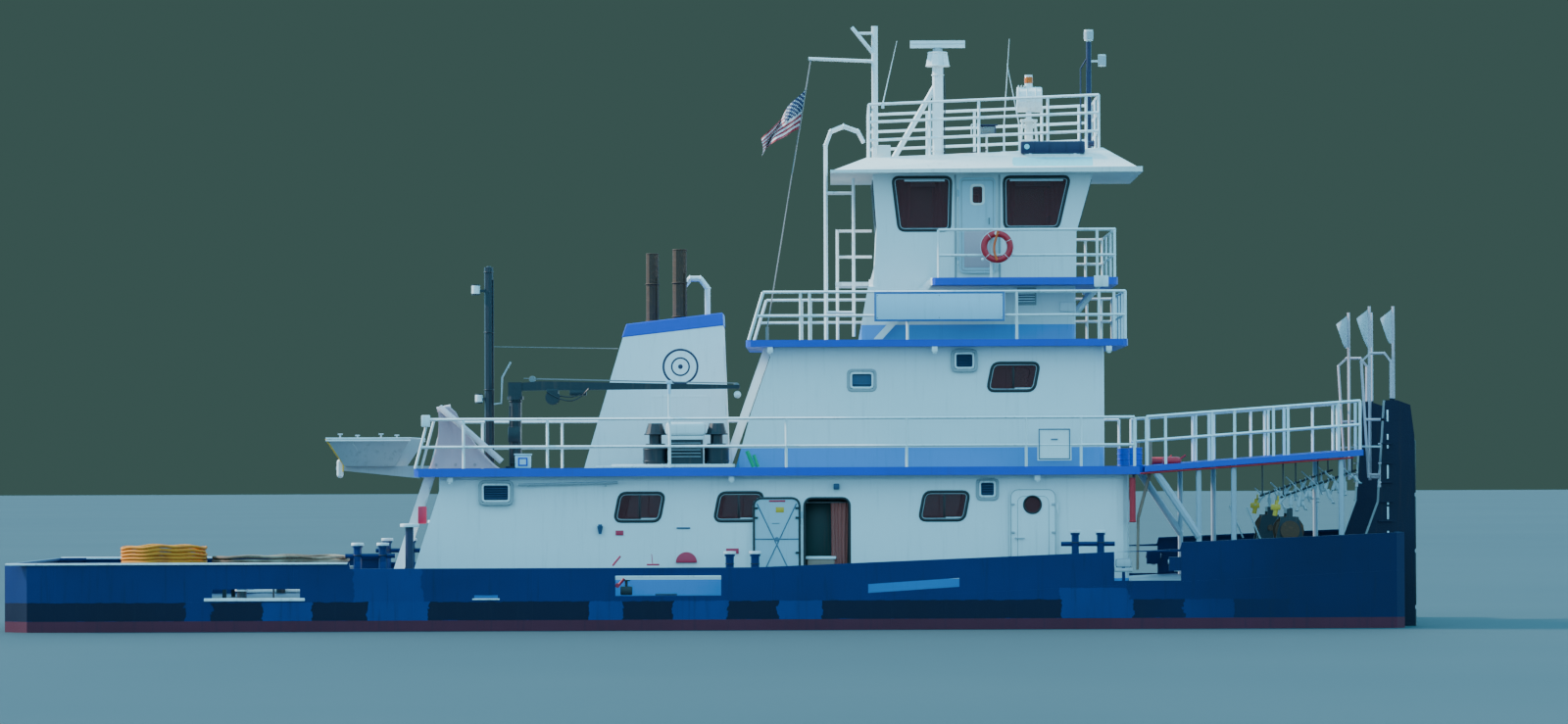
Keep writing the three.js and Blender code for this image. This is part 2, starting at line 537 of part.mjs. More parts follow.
const frontPosts = [TEXAS_RAIL.y, -2600, -1300, 0, 1300, 2600, -TEXAS_RAIL.y]
  .map((y) => [TEXAS_RAIL.fore, y]);
const texasFront = railing([[TEXAS_RAIL.fore, TEXAS_RAIL.y], [TEXAS_RAIL.fore, -TEXAS_RAIL.y]],
  TEXAS_RAIL.heights, frontPosts, texasLevel);
const nameBoard = box(3350, 6060, TEXAS_RAIL.y - 60, TEXAS_RAIL.y - RAIL_R + 12, 8770, 9370);
const texasRail = union([texasSide, mirrorY(texasSide), texasFront, nameBoard, mirrorY(nameBoard)]);
add('texas_rail', cut(texasRail, box(0, 9000, -4000, 4000, 8000, TEXAS.z + GAP)), WHITE);

// Pilothouse base, on the texas deck
const BASE_TOP = WING.z - WING.thick - GAP;
const BASE_FOOT = TEXAS.z + GAP;
const BASE_FORE = 7560;
const baseOutline = [[3030, BASE_FOOT], [BASE_FORE, BASE_FOOT], [BASE_FORE, BASE_TOP], [3240, BASE_TOP]];
const baseRoom = [[3110, 8300], [7490, 8300], [7490, 9700], [3320, 9700]];
add('pilothouse_base', house(baseOutline, baseRoom, PILOTHOUSE, [3020, BASE_FORE]), WHITE);

// Wing deck: the pilothouse floor, the walk around it and the stair down to the texas deck
const floorPlan = roundedRect(3260, 7500, -PILOTHOUSE.half, PILOTHOUSE.half, PILOTHOUSE.corner);
const wingPlan = roundedRect(WING.aft, WING.fore, -WING.half, WING.half, 180);
const WING_STAIR = { foot: [3440, TEXAS.z + 30], head: [4560, WING.z - 40], half: 280, y: -2420, tread: 4 };
const wingStair = cut(stair(WING_STAIR), box(0, 9000, -4000, 4000, 8000, TEXAS.z + GAP));
const wingBrace = [-2400, 2400].map(
  (y) => bar([BASE_FORE + 40, y * 0.8, 8960], [8100, y, WING.z - 80], 45, 6));
const wingFloors = [floorPlan, wingPlan].map((plan) => planPrism(plan, WING.z - WING.thick, WING.z));
const baseHalf = PILOTHOUSE.half + GAP;
const baseCutter = box(3000, BASE_FORE + GAP, -baseHalf, baseHalf, 8300, BASE_TOP + GAP);
const wingParts = [...wingFloors, wingStair, mirrorY(wingStair), ...wingBrace];
add('wing_deck', cut(union(wingParts), baseCutter), DECK_BLUE);

// Pilothouse: walls that lean out at the top, with big windows all round
const PILOT_FOOT = WING.z + GAP;
const PILOT_TOP = EAVES_Z - GAP;
const pilotOutline = [
  [3290, PILOT_FOOT], [7570, PILOT_FOOT], [7580, 10640], [7930, PILOT_TOP], [3340, PILOT_TOP],
  [3420, 10760], [3380, 9990]];
const pilotRoom = [[3370, 9600], [7500, 9600], [7505, 10640], [7860, 12000], [3420, 12000], [3490, 10760],
  [3450, 9990]];
let pilothouse = house(pilotOutline, pilotRoom, PILOTHOUSE, [3280, 7940]);
const PILOT_DOOR = { x0: 5180, x1: 5860, z0: 9830, z1: 11740, r: 60 };
const SIDE_WINDOWS = [[[3900, 10700], [4930, 10700], [4960, 11780], [3770, 11780]],
  [[6100, 10740], [7190, 10740], [7430, 11780], [6090, 11780]]];
const pilotSideHoles = [doorHole(PILOT_DOOR), ...SIDE_WINDOWS].map((points) => sideHole(points));
pilothouse = cut(pilothouse, ...pilotSideHoles);
for (const y of [-1230, 0, 1230]) {
  const frontHole = box(7300, 8200, y - 530, y + 530, 10740, 11720);
  const aftHole = box(3200, 3700, y - 480, y + 480, 10800, 11720);
  pilothouse = cut(pilothouse, frontHole, aftHole);
}
const PILOT_HINGE_X = PILOT_DOOR.x0 - HINGE_OFF;
const PILOT_KNUCKLES = [10050, 11380];
const pilotKnuckles = wallKnuckles(PILOTHOUSE.half, PILOT_HINGE_X, PILOT_KNUCKLES);
add('pilothouse', union([pilothouse, pilotKnuckles, mirrorY(pilotKnuckles)]), WHITE);
addPair('pilothouse_door', cut(hingedDoor(PILOT_DOOR, PILOTHOUSE.half, PILOT_HINGE_X, PILOT_KNUCKLES),
  box(5390, 5650, -4000, 0, 11220, 11620)), WHITE);

// Wing rail: starboard side, round the front, and port side
const WING_Y = -WING.half + 60;
const wingLevel = () => WING.z;
const WING_RAIL = { aft: 4690, fore: 8330, heights: [990, 460] };
const wingSidePosts = [WING_RAIL.aft, 5780, 7970, WING_RAIL.fore];
const wingRail = railing(
  [[WING_RAIL.aft, WING_Y], [WING_RAIL.fore, WING_Y], [WING_RAIL.fore, -WING_Y], [WING_RAIL.aft, -WING_Y]],
  WING_RAIL.heights,
  [...[WING_Y, -WING_Y].flatMap((y) => wingSidePosts.map((x) => [x, y])),
    ...[-1000, 1000].map((y) => [WING_RAIL.fore, y])],
  wingLevel);
// The life ring hangs on the rail by a hook
const RING = { x: 5900, z: 10300, r: 270, tube: 62 };
const ringY = WING_Y - RAIL_R - RING.tube - 5;
const lifeRing = solid(new THREE.TorusGeometry(RING.r, RING.tube, 8, 16)
  .rotateX(Math.PI / 2).translate(RING.x, ringY, RING.z));
const ringHook = box(5755, 5805, ringY - 20, WING_Y, 10060, 10120);
add('wing_rail', union([wingRail, lifeRing, ringHook]), WHITE);

// Roof: thin eaves under a hipped top, both rising a little towards the bow
function frustum(low, high) {
  const count = low.length;
  const position = [...low, ...high].flat();
  const index = [];
  for (let i = 0; i < count; i++) {
    const j = (i + 1) % count;
    index.push(i, j, count + j, i, count + j, count + i);
    if (i > 0 && i < count - 1) index.push(0, i + 1, i, count, count + i, count + i + 1);
  }
  const geometry = new THREE.BufferGeometry();
  geometry.setAttribute('position', new THREE.BufferAttribute(new Float32Array(position), 3));
  geometry.setIndex(index);
  return solid(geometry);
}

function plate(x0, x1, half, zAft, zFore) {
  return [[x0, -half, zAft], [x1, -half, zFore], [x1, half, zFore], [x0, half, zAft]];
}
const ROOF = { aft: 2460, fore: 8930, half: 2750, topAft: 3210, topFore: 8140, topHalf: 1950 };
const EAVES_RISE = 110;
const ROOF_Z = { aft: 12210, fore: 12400 };
const eaves = (aftLift, foreLift) => plate(
  ROOF.aft, ROOF.fore, ROOF.half, EAVES_Z + aftLift, EAVES_Z + foreLift);
const roof = union([
  frustum(eaves(0, 0), eaves(60, EAVES_RISE)),
  frustum(eaves(30, 40), plate(ROOF.topAft, ROOF.topFore, ROOF.topHalf, ROOF_Z.aft, ROOF_Z.fore))]);
function roofZ(x) {
  return ROOF_Z.aft + (x - ROOF.topAft) / (ROOF.topFore - ROOF.topAft) * (ROOF_Z.fore - ROOF_Z.aft);
}
// What stands on the roof is cut back by this
const roofCutter = frustum(plate(2800, 8600, 3000, 11800, 11800),
  plate(2800, 8600, 3000, roofZ(2800) + GAP, roofZ(8600) + GAP));

const ROOF_Y = -ROOF.topHalf + 60;
const ROOF_POSTS = [3270, 4540, 5560, 7000, 7800, 8060];
const ROOF_HEIGHTS = [1110, 740, 360];
const roofRailEnds = [ROOF_POSTS[0], ROOF_POSTS.at(-1)];
const roofSide = railing(roofRailEnds.map((x) => [x, ROOF_Y]), ROOF_HEIGHTS,
  ROOF_POSTS.map((x) => [x, ROOF_Y]), roofZ);
const roofEnds = roofRailEnds.map((x) => railing([[x, ROOF_Y], [x, -ROOF_Y]], ROOF_HEIGHTS, [[x, 0]], roofZ));
add('roof_rail', cut(union([roofSide, mirrorY(roofSide), ...roofEnds]), roofCutter), WHITE);

// Stack casing on the centreline, with a gooseneck vent, and the two exhaust pipes in its top
const casingFoot = UPPER.z + GAP;
const casing = frustum(
  [[-2720, -1300, casingFoot], [300, -1300, casingFoot], [300, 1300, casingFoot], [-2720, 1300, casingFoot]],
  [[-1830, -1050, 8770], [180, -1050, 9000], [180, 1050, 9000], [-1830, 1050, 8770]]);
const neckLine = [[-150, 0, 8900], [-150, 0, 9560], [-300, 0, 9760], [-520, 0, 9760], [-640, 0, 9600]];
const gooseneck = pipe(neckLine, 60, 8);
// Columns: X, Y, radius and top of each pipe
const EXHAUSTS = [
  ['exhaust_pipe_port', -1325, 420, 135, 10300], ['exhaust_pipe_starboard', -725, -420, 150, 10360]];
const FLUE = { foot: 8400, hollowFrom: 9700, wall: 14 };
let casingBody = union([casing, gooseneck]);
for (const [name, x, y, r, top] of EXHAUSTS) {
  casingBody = cut(casingBody, bar([x, y, FLUE.foot], [x, y, 9500], r + 6, 12));
  const flue = cut(bar([x, y, FLUE.foot + GAP], [x, y, top], r, 12),
    bar([x, y, FLUE.hollowFrom], [x, y, top + 50], r - FLUE.wall, 12));
  add(name, flue, RUST);
}
add('stack_casing', casingBody, WHITE);

// Radar: column and brace on the roof, and the scanner that turns on its head
const RADAR = { x: 4740, head: 14250, bearing: 14580, scanner: 14600, half: 580 };
const radarMast = union([
  bar([RADAR.x, 0, 12100], [RADAR.x, 0, RADAR.head], 120, 10),
  bar([RADAR.x, 0, RADAR.head - 10], [RADAR.x, 0, 14540], 250, 12, 200),
  bar([RADAR.x - 10, 0, 13900], [3720, 0, 12150], 60, 6),
  bar([RADAR.x, 0, 14530], [RADAR.x, 0, RADAR.bearing], 60, 10)]);
add('radar_mast', cut(radarMast, roofCutter), WHITE);
add('radar_scanner', union([
  box(RADAR.x - RADAR.half, RADAR.x + RADAR.half, -85, 85, RADAR.scanner + 30, RADAR.scanner + 180),
  bar([RADAR.x, 0, RADAR.bearing + GAP], [RADAR.x, 0, RADAR.scanner + 40], 75, 10)]), WHITE);

// Signal mast with its yard, aft on the roof
const MAST = { x: 3400, y: -900, top: 15030 };
function yardBar(grow) {
  return bar([MAST.x, MAST.y, 14290], [2010, MAST.y, 14350], 35 + grow, 6);
}
const signalMast = union([bar([MAST.x, MAST.y, 12100], [MAST.x, MAST.y, MAST.top], 65, 8),
  yardBar(0),
  bar([MAST.x, MAST.y, 14420], [2920, MAST.y, 15010], 40, 6),
  bar([MAST.x, MAST.y, 14880], [3040, MAST.y, 14880], 28, 6)]);
add('signal_mast', cut(signalMast, roofCutter), WHITE);

// The front light mast and the searchlight's stand are welded to the roof
const FRONT_MAST = { x: 7890, y: -1100, top: 14920 };
const frontMast = union([bar([FRONT_MAST.x, FRONT_MAST.y, 12200], [FRONT_MAST.x, FRONT_MAST.y, 14700], 48, 8),
  bar([FRONT_MAST.x, FRONT_MAST.y, 14690], [FRONT_MAST.x, FRONT_MAST.y, FRONT_MAST.top], 95, 10),
  box(FRONT_MAST.x, 8200, FRONT_MAST.y - 20, FRONT_MAST.y + 20, 14240, 14280),
  bar([8170, FRONT_MAST.y, 14150], [8170, FRONT_MAST.y, 14400], 80, 8)]);
const LIGHT = { x: 6640, y: -700, pan: 13080 };
const lightStand = union([bar([LIGHT.x, LIGHT.y, 12200], [LIGHT.x, LIGHT.y, LIGHT.pan], 90, 10),
  bar([LIGHT.x, LIGHT.y, 12200], [LIGHT.x, LIGHT.y, 12420], 190, 10)]);
add('pilothouse_roof', union([roof, frontMast, lightStand]), WHITE);

// Searchlight: a drum that pans on its stand
add('searchlight', union([
  bar([LIGHT.x, LIGHT.y, LIGHT.pan + GAP], [LIGHT.x, LIGHT.y, LIGHT.pan + 150], 60, 10),
  bar([LIGHT.x - 250, LIGHT.y, LIGHT.pan + 400], [LIGHT.x + 260, LIGHT.y, LIGHT.pan + 400], 265, 14),
  bar([LIGHT.x, LIGHT.y, LIGHT.pan + 640], [LIGHT.x, LIGHT.y, 14000], 85, 10)]), WHITE);

// Ensign on its halyard, which runs from the yard's end down to the texas rail
const HALYARD = { x: 2060, y: MAST.y, z: 14350, footX: 1120, footZ: TEXAS.z + 300, r: 14 };
const halyardTop = [HALYARD.x, HALYARD.y, HALYARD.z];
const halyardFoot = [HALYARD.footX, HALYARD.y, HALYARD.footZ];
const belowTexas = box(0, 3000, -2000, 0, 8000, TEXAS.z + GAP);
const cleatPost = bar(
  [HALYARD.footX, HALYARD.y, TEXAS.z], [HALYARD.footX, HALYARD.y, HALYARD.footZ + 20], 40, 6);
add('ensign_halyard', cut(union([bar(halyardTop, halyardFoot, HALYARD.r), cleatPost]),
  belowTexas, yardBar(GAP), box(1900, 2200, -1200, -600, 14360, 14500)), WHITE);
function halyardX(z) {
  return HALYARD.x + (HALYARD.z - z) / (HALYARD.z - HALYARD.footZ) * (HALYARD.footX - HALYARD.x);
}
const ENSIGN_THICK = 20;
const ensignOutline = [
  [900, 12500], [820, 12050], [halyardX(12470), 12470], [halyardX(13470), 13470]];
add('ensign', cut(sidePrism(ensignOutline, HALYARD.y - ENSIGN_THICK / 2, HALYARD.y + ENSIGN_THICK / 2),
  bar(halyardTop, halyardFoot, HALYARD.r + GAP, 4)), FLAG_CLOTH);

// Aft landing behind the pilothouse, with its rail and the roof ladder
const LANDING = { aft: 2560, fore: 3260, y0: -200, y1: 1500 };
const LANDING_RAILS = [10750, 10200];
const [postX, postA, postB] = [LANDING.aft + 40, LANDING.y0 + 40, LANDING.y1 - 40];
const landing = union([
  ...[postA, postB].map((y) => bar([postX, y, TEXAS.z + GAP], [postX, y, LANDING_RAILS[0] + RAIL_R], 32)),
  ...LANDING_RAILS.map((z) => bar([postX, postA, z], [postX, postB, z], RAIL_R)),
  ...LANDING_RAILS.map((z) => bar([postX, postA, z], [3330, postA, z], RAIL_R)),
  box(LANDING.aft, LANDING.fore - GAP, LANDING.y0, LANDING.y1, WING.z - 80, WING.z)]);
const pilothouseAft = [[3240, 9600], [3290 - GAP, PILOT_FOOT], [3380 - GAP, 9990], [3420 - GAP, 10760],
  [3420 - GAP, 12000], [5000, 12000], [5000, 9600]];
add('aft_landing', cut(landing, box(2800, 9000, -3000, 3000, 8000, WING.z - 500),
  sidePrism(pilothouseAft, -3000, 3000)), WHITE);

const LADDER = { x: 2360, stayX: 2940, y0: -1500, y1: -1100, firstRung: 350, rungStep: 420, lastRung: 12300 };
const archLine = [[0, TEXAS.z + GAP], [0, 12500], [110, 12790], [380, 12900], [680, 12790], [800, 12560]];
const ladderParts = [LADDER.y0, LADDER.y1].flatMap((y) => [
  pipe(archLine.map(([x, z]) => [LADDER.x + x, y, z]), 42),
  bar([LADDER.stayX, y, 8500], [LADDER.stayX, y, EAVES_Z - GAP], 34),
  ...[9000, 11500].map((z) => bar([LADDER.x, y, z], [LADDER.stayX, y, z], 26))]);
for (let z = TEXAS.z + LADDER.firstRung; z < LADDER.lastRung; z += LADDER.rungStep) {
  ladderParts.push(bar([LADDER.x, LADDER.y0, z], [LADDER.x, LADDER.y1, z], 22));
}
const ladderFoot = box(2000, 3500, -2000, 0, 8000, TEXAS.z + GAP);
add('roof_ladder', cut(union(ladderParts), ladderFoot, roofCutter), WHITE);

// Deck crane: fixed pedestal, slewing head, and the boom that luffs on the head's pin
const CRANE = { x: -4070, y: -2900, head: 7180, pin: 7430, tip: 570 };
add('crane_pedestal', union([bar([CRANE.x, CRANE.y, UPPER.z + GAP], [CRANE.x, CRANE.y, CRANE.head], 125, 12),
  bar([CRANE.x, CRANE.y, UPPER.z + GAP], [CRANE.x, CRANE.y, UPPER.z + 40], 230, 12)]), BLACK);
const CHEEK = { off: 82 + GAP, half: 12 };
const cheeks = [-1, 1].map((side) => CRANE.y + side * CHEEK.off).map((y) => box(
  CRANE.x - 150, CRANE.x + 130, y - CHEEK.half, y + CHEEK.half, CRANE.head + 40, CRANE.pin + 110));
add('crane_head', union([
  bar([CRANE.x, CRANE.y, CRANE.head + GAP], [CRANE.x, CRANE.y, CRANE.head + 70], 170, 12), ...cheeks,
  bar([CRANE.x, CRANE.y - 110, CRANE.pin], [CRANE.x, CRANE.y + 110, CRANE.pin], 26, 8)]), BLACK);
const boomOutline = [
  [CRANE.x - 110, CRANE.pin - 70], [CRANE.x - 110, CRANE.pin + 80], [CRANE.x + 500, CRANE.pin + 130],
  [CRANE.tip, CRANE.pin + 40], [CRANE.tip, CRANE.pin - 40], [CRANE.x + 500, CRANE.pin - 60]];
const boom = cut(sidePrism(boomOutline, CRANE.y - 70, CRANE.y + 70),
  bar([CRANE.x, CRANE.y - 200, CRANE.pin], [CRANE.x, CRANE.y + 200, CRANE.pin], 34, 12));
add('crane_boom', boom, BLACK);

// Aft mast post on the upper deck
const POST = { x: -4680, y: -1800, top: 9960 };
// Lamps on arms aft of the mast. Columns: reach aft, foot and top of the lamp, its radius
const POST_LAMPS = [[270, 9380, 9600, 85], [210, 7120, 7320, 75]];
const postLamps = POST_LAMPS.flatMap(([reach, foot, top, r]) => [
  box(POST.x - reach - 20, POST.x, POST.y - 35, POST.y + 35, foot + 60, foot + 115),
  bar([POST.x - reach, POST.y, foot], [POST.x - reach, POST.y, top], r, 8)]);
add('aft_mast', cut(union([bar([POST.x, POST.y, UPPER.z], [POST.x, POST.y, POST.top], 95, 8), ...postLamps]),
  box(-6000, -3000, -3000, 0, 5000, UPPER.z + GAP)), BLACK);

// Canvas cover over deck gear: a closed tent that rises to a peak near its aft end
const COVER_FOOT = UPPER.z + GAP;
add('canvas_cover', frustum(
  [[-5880, -3200, COVER_FOOT], [-4300, -3200, COVER_FOOT],
    [-4300, -2350, COVER_FOOT], [-5880, -2350, COVER_FOOT]],
  [[-5700, -2950, 7060], [-5350, -2950, 7000], [-5350, -2600, 7000], [-5700, -2600, 7060]])
  .subtract(bar([CRANE.x, CRANE.y, 5000], [CRANE.x, CRANE.y, 8000], 320, 12)), CANVAS);

// Aluminium skiff, stowed across the stern on two cantilever arms
const SKIFF = { aft: -8060, fore: -6280, half: 2350, keel: 5820, gunwale: 6400 };
const skiffMidX = (SKIFF.aft + SKIFF.fore) / 2;
const skiffLow = [[-7700, -1900, SKIFF.keel], [-6650, -1900, SKIFF.keel], [-6650, 1900, SKIFF.keel],
  [-7700, 1900, SKIFF.keel]];
const skiffHigh = [[SKIFF.aft, -SKIFF.half, SKIFF.gunwale], [SKIFF.fore, -SKIFF.half, SKIFF.gunwale],
  [SKIFF.fore, SKIFF.half, SKIFF.gunwale], [SKIFF.aft, SKIFF.half, SKIFF.gunwale]];
const scaleIn = (points, k, lift) => points.map(
  ([x, y, z]) => [skiffMidX + (x - skiffMidX) * k, y * k, z + lift]);
const skiffHollow = frustum(scaleIn(skiffLow, 0.95, 40), scaleIn(skiffHigh, 0.95, 40));
const skiffShell = cut(frustum(skiffLow, skiffHigh), skiffHollow);
const thwarts = [-1000, 1000].map((y) => box(-7900, -6450, y - 130, y + 130, 6180, 6220)
  .intersect(frustum(skiffLow, skiffHigh)));
add('skiff', union([skiffShell, ...thwarts]), ALUMINIUM);
const ARM_TOP = SKIFF.keel - GAP;
const armOutline = [
  [UPPER.aft - GAP, UPPER.z - 200], [UPPER.aft - GAP, ARM_TOP], [-7900, ARM_TOP], [-7900, ARM_TOP - 80]];
const arms = [-1, 1].map((side) => sidePrism(armOutline, side * 1500 - 50, side * 1500 + 50));
add('skiff_arms', union([...arms, box(-7000, -6900, -1500, 1500, ARM_TOP - 130, ARM_TOP - 50)]), BLACK);

// Engine room vents: two mushroom heads and a box between them, on one base plate
const VENT_Y = -2750;
function mushroom(x) {
  return union([
    bar([x, VENT_Y, UPPER.z], [x, VENT_Y, 6500], 130, 12),
    bar([x, VENT_Y, 6040], [x, VENT_Y, 6260], 245, 12, 200),
    bar([x, VENT_Y, 6440], [x, VENT_Y, 6680], 220, 12, 150)]);
}
const vents = union([
  box(-2050, 430, VENT_Y - 300, VENT_Y + 300, UPPER.z, UPPER.z + 60),
  mushroom(-1185), mushroom(85),
  box(-900, -200, VENT_Y - 260, VENT_Y + 260, UPPER.z, 6500)]);
add('engine_room_vents', cut(vents, box(-3000, 2000, -4000, 0, 5000, UPPER.z + GAP)), BLACK);

// Stern line rack and the rope stowed on it
const RACK = { aft: -12750, fore: -7700, half: 1100, top: 3700 };
const rackLegs = [-12600, -10300, -8000].flatMap((x) => [-950, 950].map(
  (y) => box(x - 40, x + 40, y - 40, y + 40, 3000, RACK.top - 30)));
const rackTop = box(RACK.aft, RACK.fore, -RACK.half, RACK.half, RACK.top - 60, RACK.top);
add('line_rack', seat(union([rackTop, ...rackLegs])), BLACK);

// A racetrack ring, the outer form of a coiled line
function racetrack(x, straight, rOuter, rInner, z0, z1) {
  const outline = (r) => {
    const points = [];
    for (const [end, turn] of [[1, -0.5], [-1, 0.5]]) {
      for (let i = 0; i <= 8; i++) {
        const a = (turn + i / 8) * Math.PI;
        points.push([x + end * straight / 2 + r * Math.cos(a), r * Math.sin(a)]);
      }
    }
    return points;
  };
  return cut(planPrism(outline(rOuter), z0, z1), planPrism(outline(rInner), z0 - 10, z1 + 10));
}
const COIL_Z = RACK.top + GAP;
const ROPE = 70;
add('stern_line_yellow', racetrack(-11650, 420, 720, 720 - 2 * ROPE, COIL_Z, COIL_Z + 6 * ROPE), ROPE_YELLOW);
add('stern_line_brown', racetrack(-9220, 1650, 640, 640 - 3 * ROPE, COIL_Z, COIL_Z + 3 * ROPE), ROPE_BROWN);

// Face winches on the foredeck: a bolted frame, and the drum that turns in it
const WINCH = { x: 11900, y: -2800, axle: 4420, half: 400, r: 300 };
const winchCheek = [
  [WINCH.x - 560, 3300], [WINCH.x + 560, 3300], [WINCH.x + 420, 3700], [WINCH.x + 180, 4700],
  [WINCH.x - 180, 4700], [WINCH.x - 420, 3700]];
const [cheekA, cheekB] = [WINCH.y - WINCH.half, WINCH.y + WINCH.half];
const winchFrame = seat(union([
  ...[cheekA, cheekB].map((y) => sidePrism(winchCheek, y - 20, y + 20)),
  ...[cheekA, cheekB].map((y) => box(WINCH.x - 60, WINCH.x + 60, y - 20, y + 20, 4600, 4870)),
  box(WINCH.x - 560, WINCH.x + 560, cheekA, cheekB, 3300, 3640),
  box(WINCH.x - 60, WINCH.x + 60, cheekA, cheekB, 4770, 4870)]));
const winchBore = bar([WINCH.x, WINCH.y - 600, WINCH.axle], [WINCH.x, WINCH.y + 600, WINCH.axle], 66, 12);
addPair('winch_frame', cut(winchFrame, winchBore), BLACK);
const drumPart = (y0, y1, r) => bar(
  [WINCH.x, WINCH.y + y0, WINCH.axle], [WINCH.x, WINCH.y + y1, WINCH.axle], r, 16);
addPair('winch_drum', union([
  drumPart(-520, 460, 60), drumPart(-360, 360, 170), drumPart(-520, -440, 200),
  drumPart(-380 + GAP, -355, WINCH.r), drumPart(355, 380 - GAP, WINCH.r)]), RUST);

// Propellers: shaft, hub and four blades set at their pitch
const BLADE = { reach: PROP_R, root: 120, chord: 300, thick: 44, pitch: 0.62, count: 4 };
function propeller(y) {
  const reach = (BLADE.reach - BLADE.root) / 2;
  const outline = new THREE.Shape().absellipse(0, 0, reach, BLADE.chord, 0, Math.PI * 2);
  const parts = [bar([PROP_X - HUB.aft, y, SHAFT_Z], [PROP_X + HUB.fore, y, SHAFT_Z], 120, 12, 160),
    bar([PROP_X + 200, y, SHAFT_Z], [-9300, y, SHAFT_Z], SHAFT_R, 12)];
  for (let i = 0; i < BLADE.count; i++) {
    const blade = new THREE.ExtrudeGeometry(
      outline, { depth: BLADE.thick, bevelEnabled: false, curveSegments: 7 });
    blade.translate(BLADE.root + reach, 0, -BLADE.thick / 2).rotateX(Math.PI - BLADE.pitch);
    blade.rotateY(-Math.PI / 2).rotateX(i * 2 * Math.PI / BLADE.count + 0.4).translate(PROP_X, y, SHAFT_Z);
    parts.push(solid(blade));
  }
  return union(parts);
}
addPair('propeller', propeller(-SHAFT_Y), BRONZE);

// Rudders: two for steering behind the propellers, and four for flanking ahead of them
function rudder({ x, bladeTop, stockTop, fore, aft }, y) {
  const section = [[x + fore, y], [x + fore * 0.7, y + 55], [x - aft * 0.2, y + 75], [x - aft, y + 12],
    [x - aft, y - 12], [x - aft * 0.2, y - 75], [x + fore * 0.7, y - 55]].reverse();
  const stock = bar([x, y, bladeTop - 50], [x, y, stockTop], STOCK_R, 12);
  return planPrism(section, RUDDER_FOOT, bladeTop).add(stock);
}
const RUDDER_NAMES = ['steering_rudder', 'flanking_rudder_outer', 'flanking_rudder_inner'];
rudderStocks.forEach(({ spec, y }, i) => {
  add(`${RUDDER_NAMES[i % 3]}_${i < 3 ? 'starboard' : 'port'}`, rudder(spec, y), BLACK);
});

export default group;
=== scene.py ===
import math
import bpy
from mathutils import Euler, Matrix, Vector


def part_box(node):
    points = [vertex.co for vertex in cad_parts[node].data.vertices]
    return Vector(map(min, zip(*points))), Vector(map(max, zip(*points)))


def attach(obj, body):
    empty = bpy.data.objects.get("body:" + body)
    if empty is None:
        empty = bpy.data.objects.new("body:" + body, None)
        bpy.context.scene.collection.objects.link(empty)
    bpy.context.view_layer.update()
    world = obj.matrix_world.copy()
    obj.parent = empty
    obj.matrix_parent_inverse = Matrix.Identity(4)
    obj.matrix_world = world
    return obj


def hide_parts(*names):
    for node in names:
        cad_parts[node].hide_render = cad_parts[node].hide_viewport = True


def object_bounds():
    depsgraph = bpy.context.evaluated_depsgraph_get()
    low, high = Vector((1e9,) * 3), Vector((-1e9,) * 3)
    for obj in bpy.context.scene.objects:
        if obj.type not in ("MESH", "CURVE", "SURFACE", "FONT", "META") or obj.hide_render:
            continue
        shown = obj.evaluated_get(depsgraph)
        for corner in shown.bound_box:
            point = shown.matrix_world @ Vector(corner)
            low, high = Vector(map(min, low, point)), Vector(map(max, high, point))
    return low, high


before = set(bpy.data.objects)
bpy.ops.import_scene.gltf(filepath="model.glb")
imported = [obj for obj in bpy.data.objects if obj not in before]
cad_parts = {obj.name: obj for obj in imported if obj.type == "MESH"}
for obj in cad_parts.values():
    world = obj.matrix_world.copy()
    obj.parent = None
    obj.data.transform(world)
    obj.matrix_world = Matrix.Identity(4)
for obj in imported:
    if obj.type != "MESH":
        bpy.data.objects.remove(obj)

bl_info = {
    "name": "River Towboat",
    "version": (1, 0, 0),
    "blender": (4, 5, 0),
    "location": "3D View > Sidebar > Towboat",
    "description": "Dresses a river towboat: paint, glass, rails, deck gear, lines and flag",
    "category": "Object",
}

# Levels and half widths, in metres
CAD_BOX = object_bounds()
WATERLINE = 2.44
UPPER_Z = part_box("upper_deck")[1][2]
WALK_START, WALK_SLOPE = 8.9, 0.32 / 4.5
MAIN_SIDE = 3.15
SECOND_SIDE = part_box("second_house")[1][1]
PILOT_SIDE = 2.03
BOTH_SIDES = (-1, 1)
SIDE_NAMES = ((-1, "starboard"), (1, "port"))
X, Y, Z = (1, 0, 0), (0, 1, 0), (0, 0, 1)


def by_name(groups):
    """From {kind: "name name"} to {name: kind}."""
    return {name: kind for kind, names in groups.items() for name in names.split()}


# Selection and placing
def deselect():
    if bpy.context.object and bpy.context.object.mode != "OBJECT":
        bpy.ops.object.mode_set(mode="OBJECT")
    bpy.ops.object.select_all(action="DESELECT")


def choose(obj):
    deselect()
    obj.select_set(True)
    bpy.context.view_layer.objects.active = obj
    return obj


def settle(obj):
    choose(obj)
    bpy.ops.object.transform_apply(location=True, rotation=True, scale=True)
    return obj


def bevel_edges(obj, width, segments=2, **limits):
    choose(obj)
    modifier = obj.modifiers.new("Bevel", "BEVEL")
    for key, value in {"width": width, "segments": segments, "limit_method": "ANGLE", **limits}.items():
        setattr(modifier, key, value)
    bpy.ops.object.modifier_apply(modifier=modifier.name)
    return obj


def smooth(obj, angle=40):
    choose(obj)
    bpy.ops.object.shade_smooth_by_angle(angle=math.radians(angle))
    return obj


def join(parts):
    deselect()
    for part in parts:
        part.select_set(True)
    bpy.context.view_layer.objects.active = parts[0]
    if len(parts) > 1:
        bpy.ops.object.join()
    return bpy.context.object


def bevelled(obj, width, segments=2, **limits):
    return smooth(bevel_edges(obj, width, segments, **limits)) if width else obj


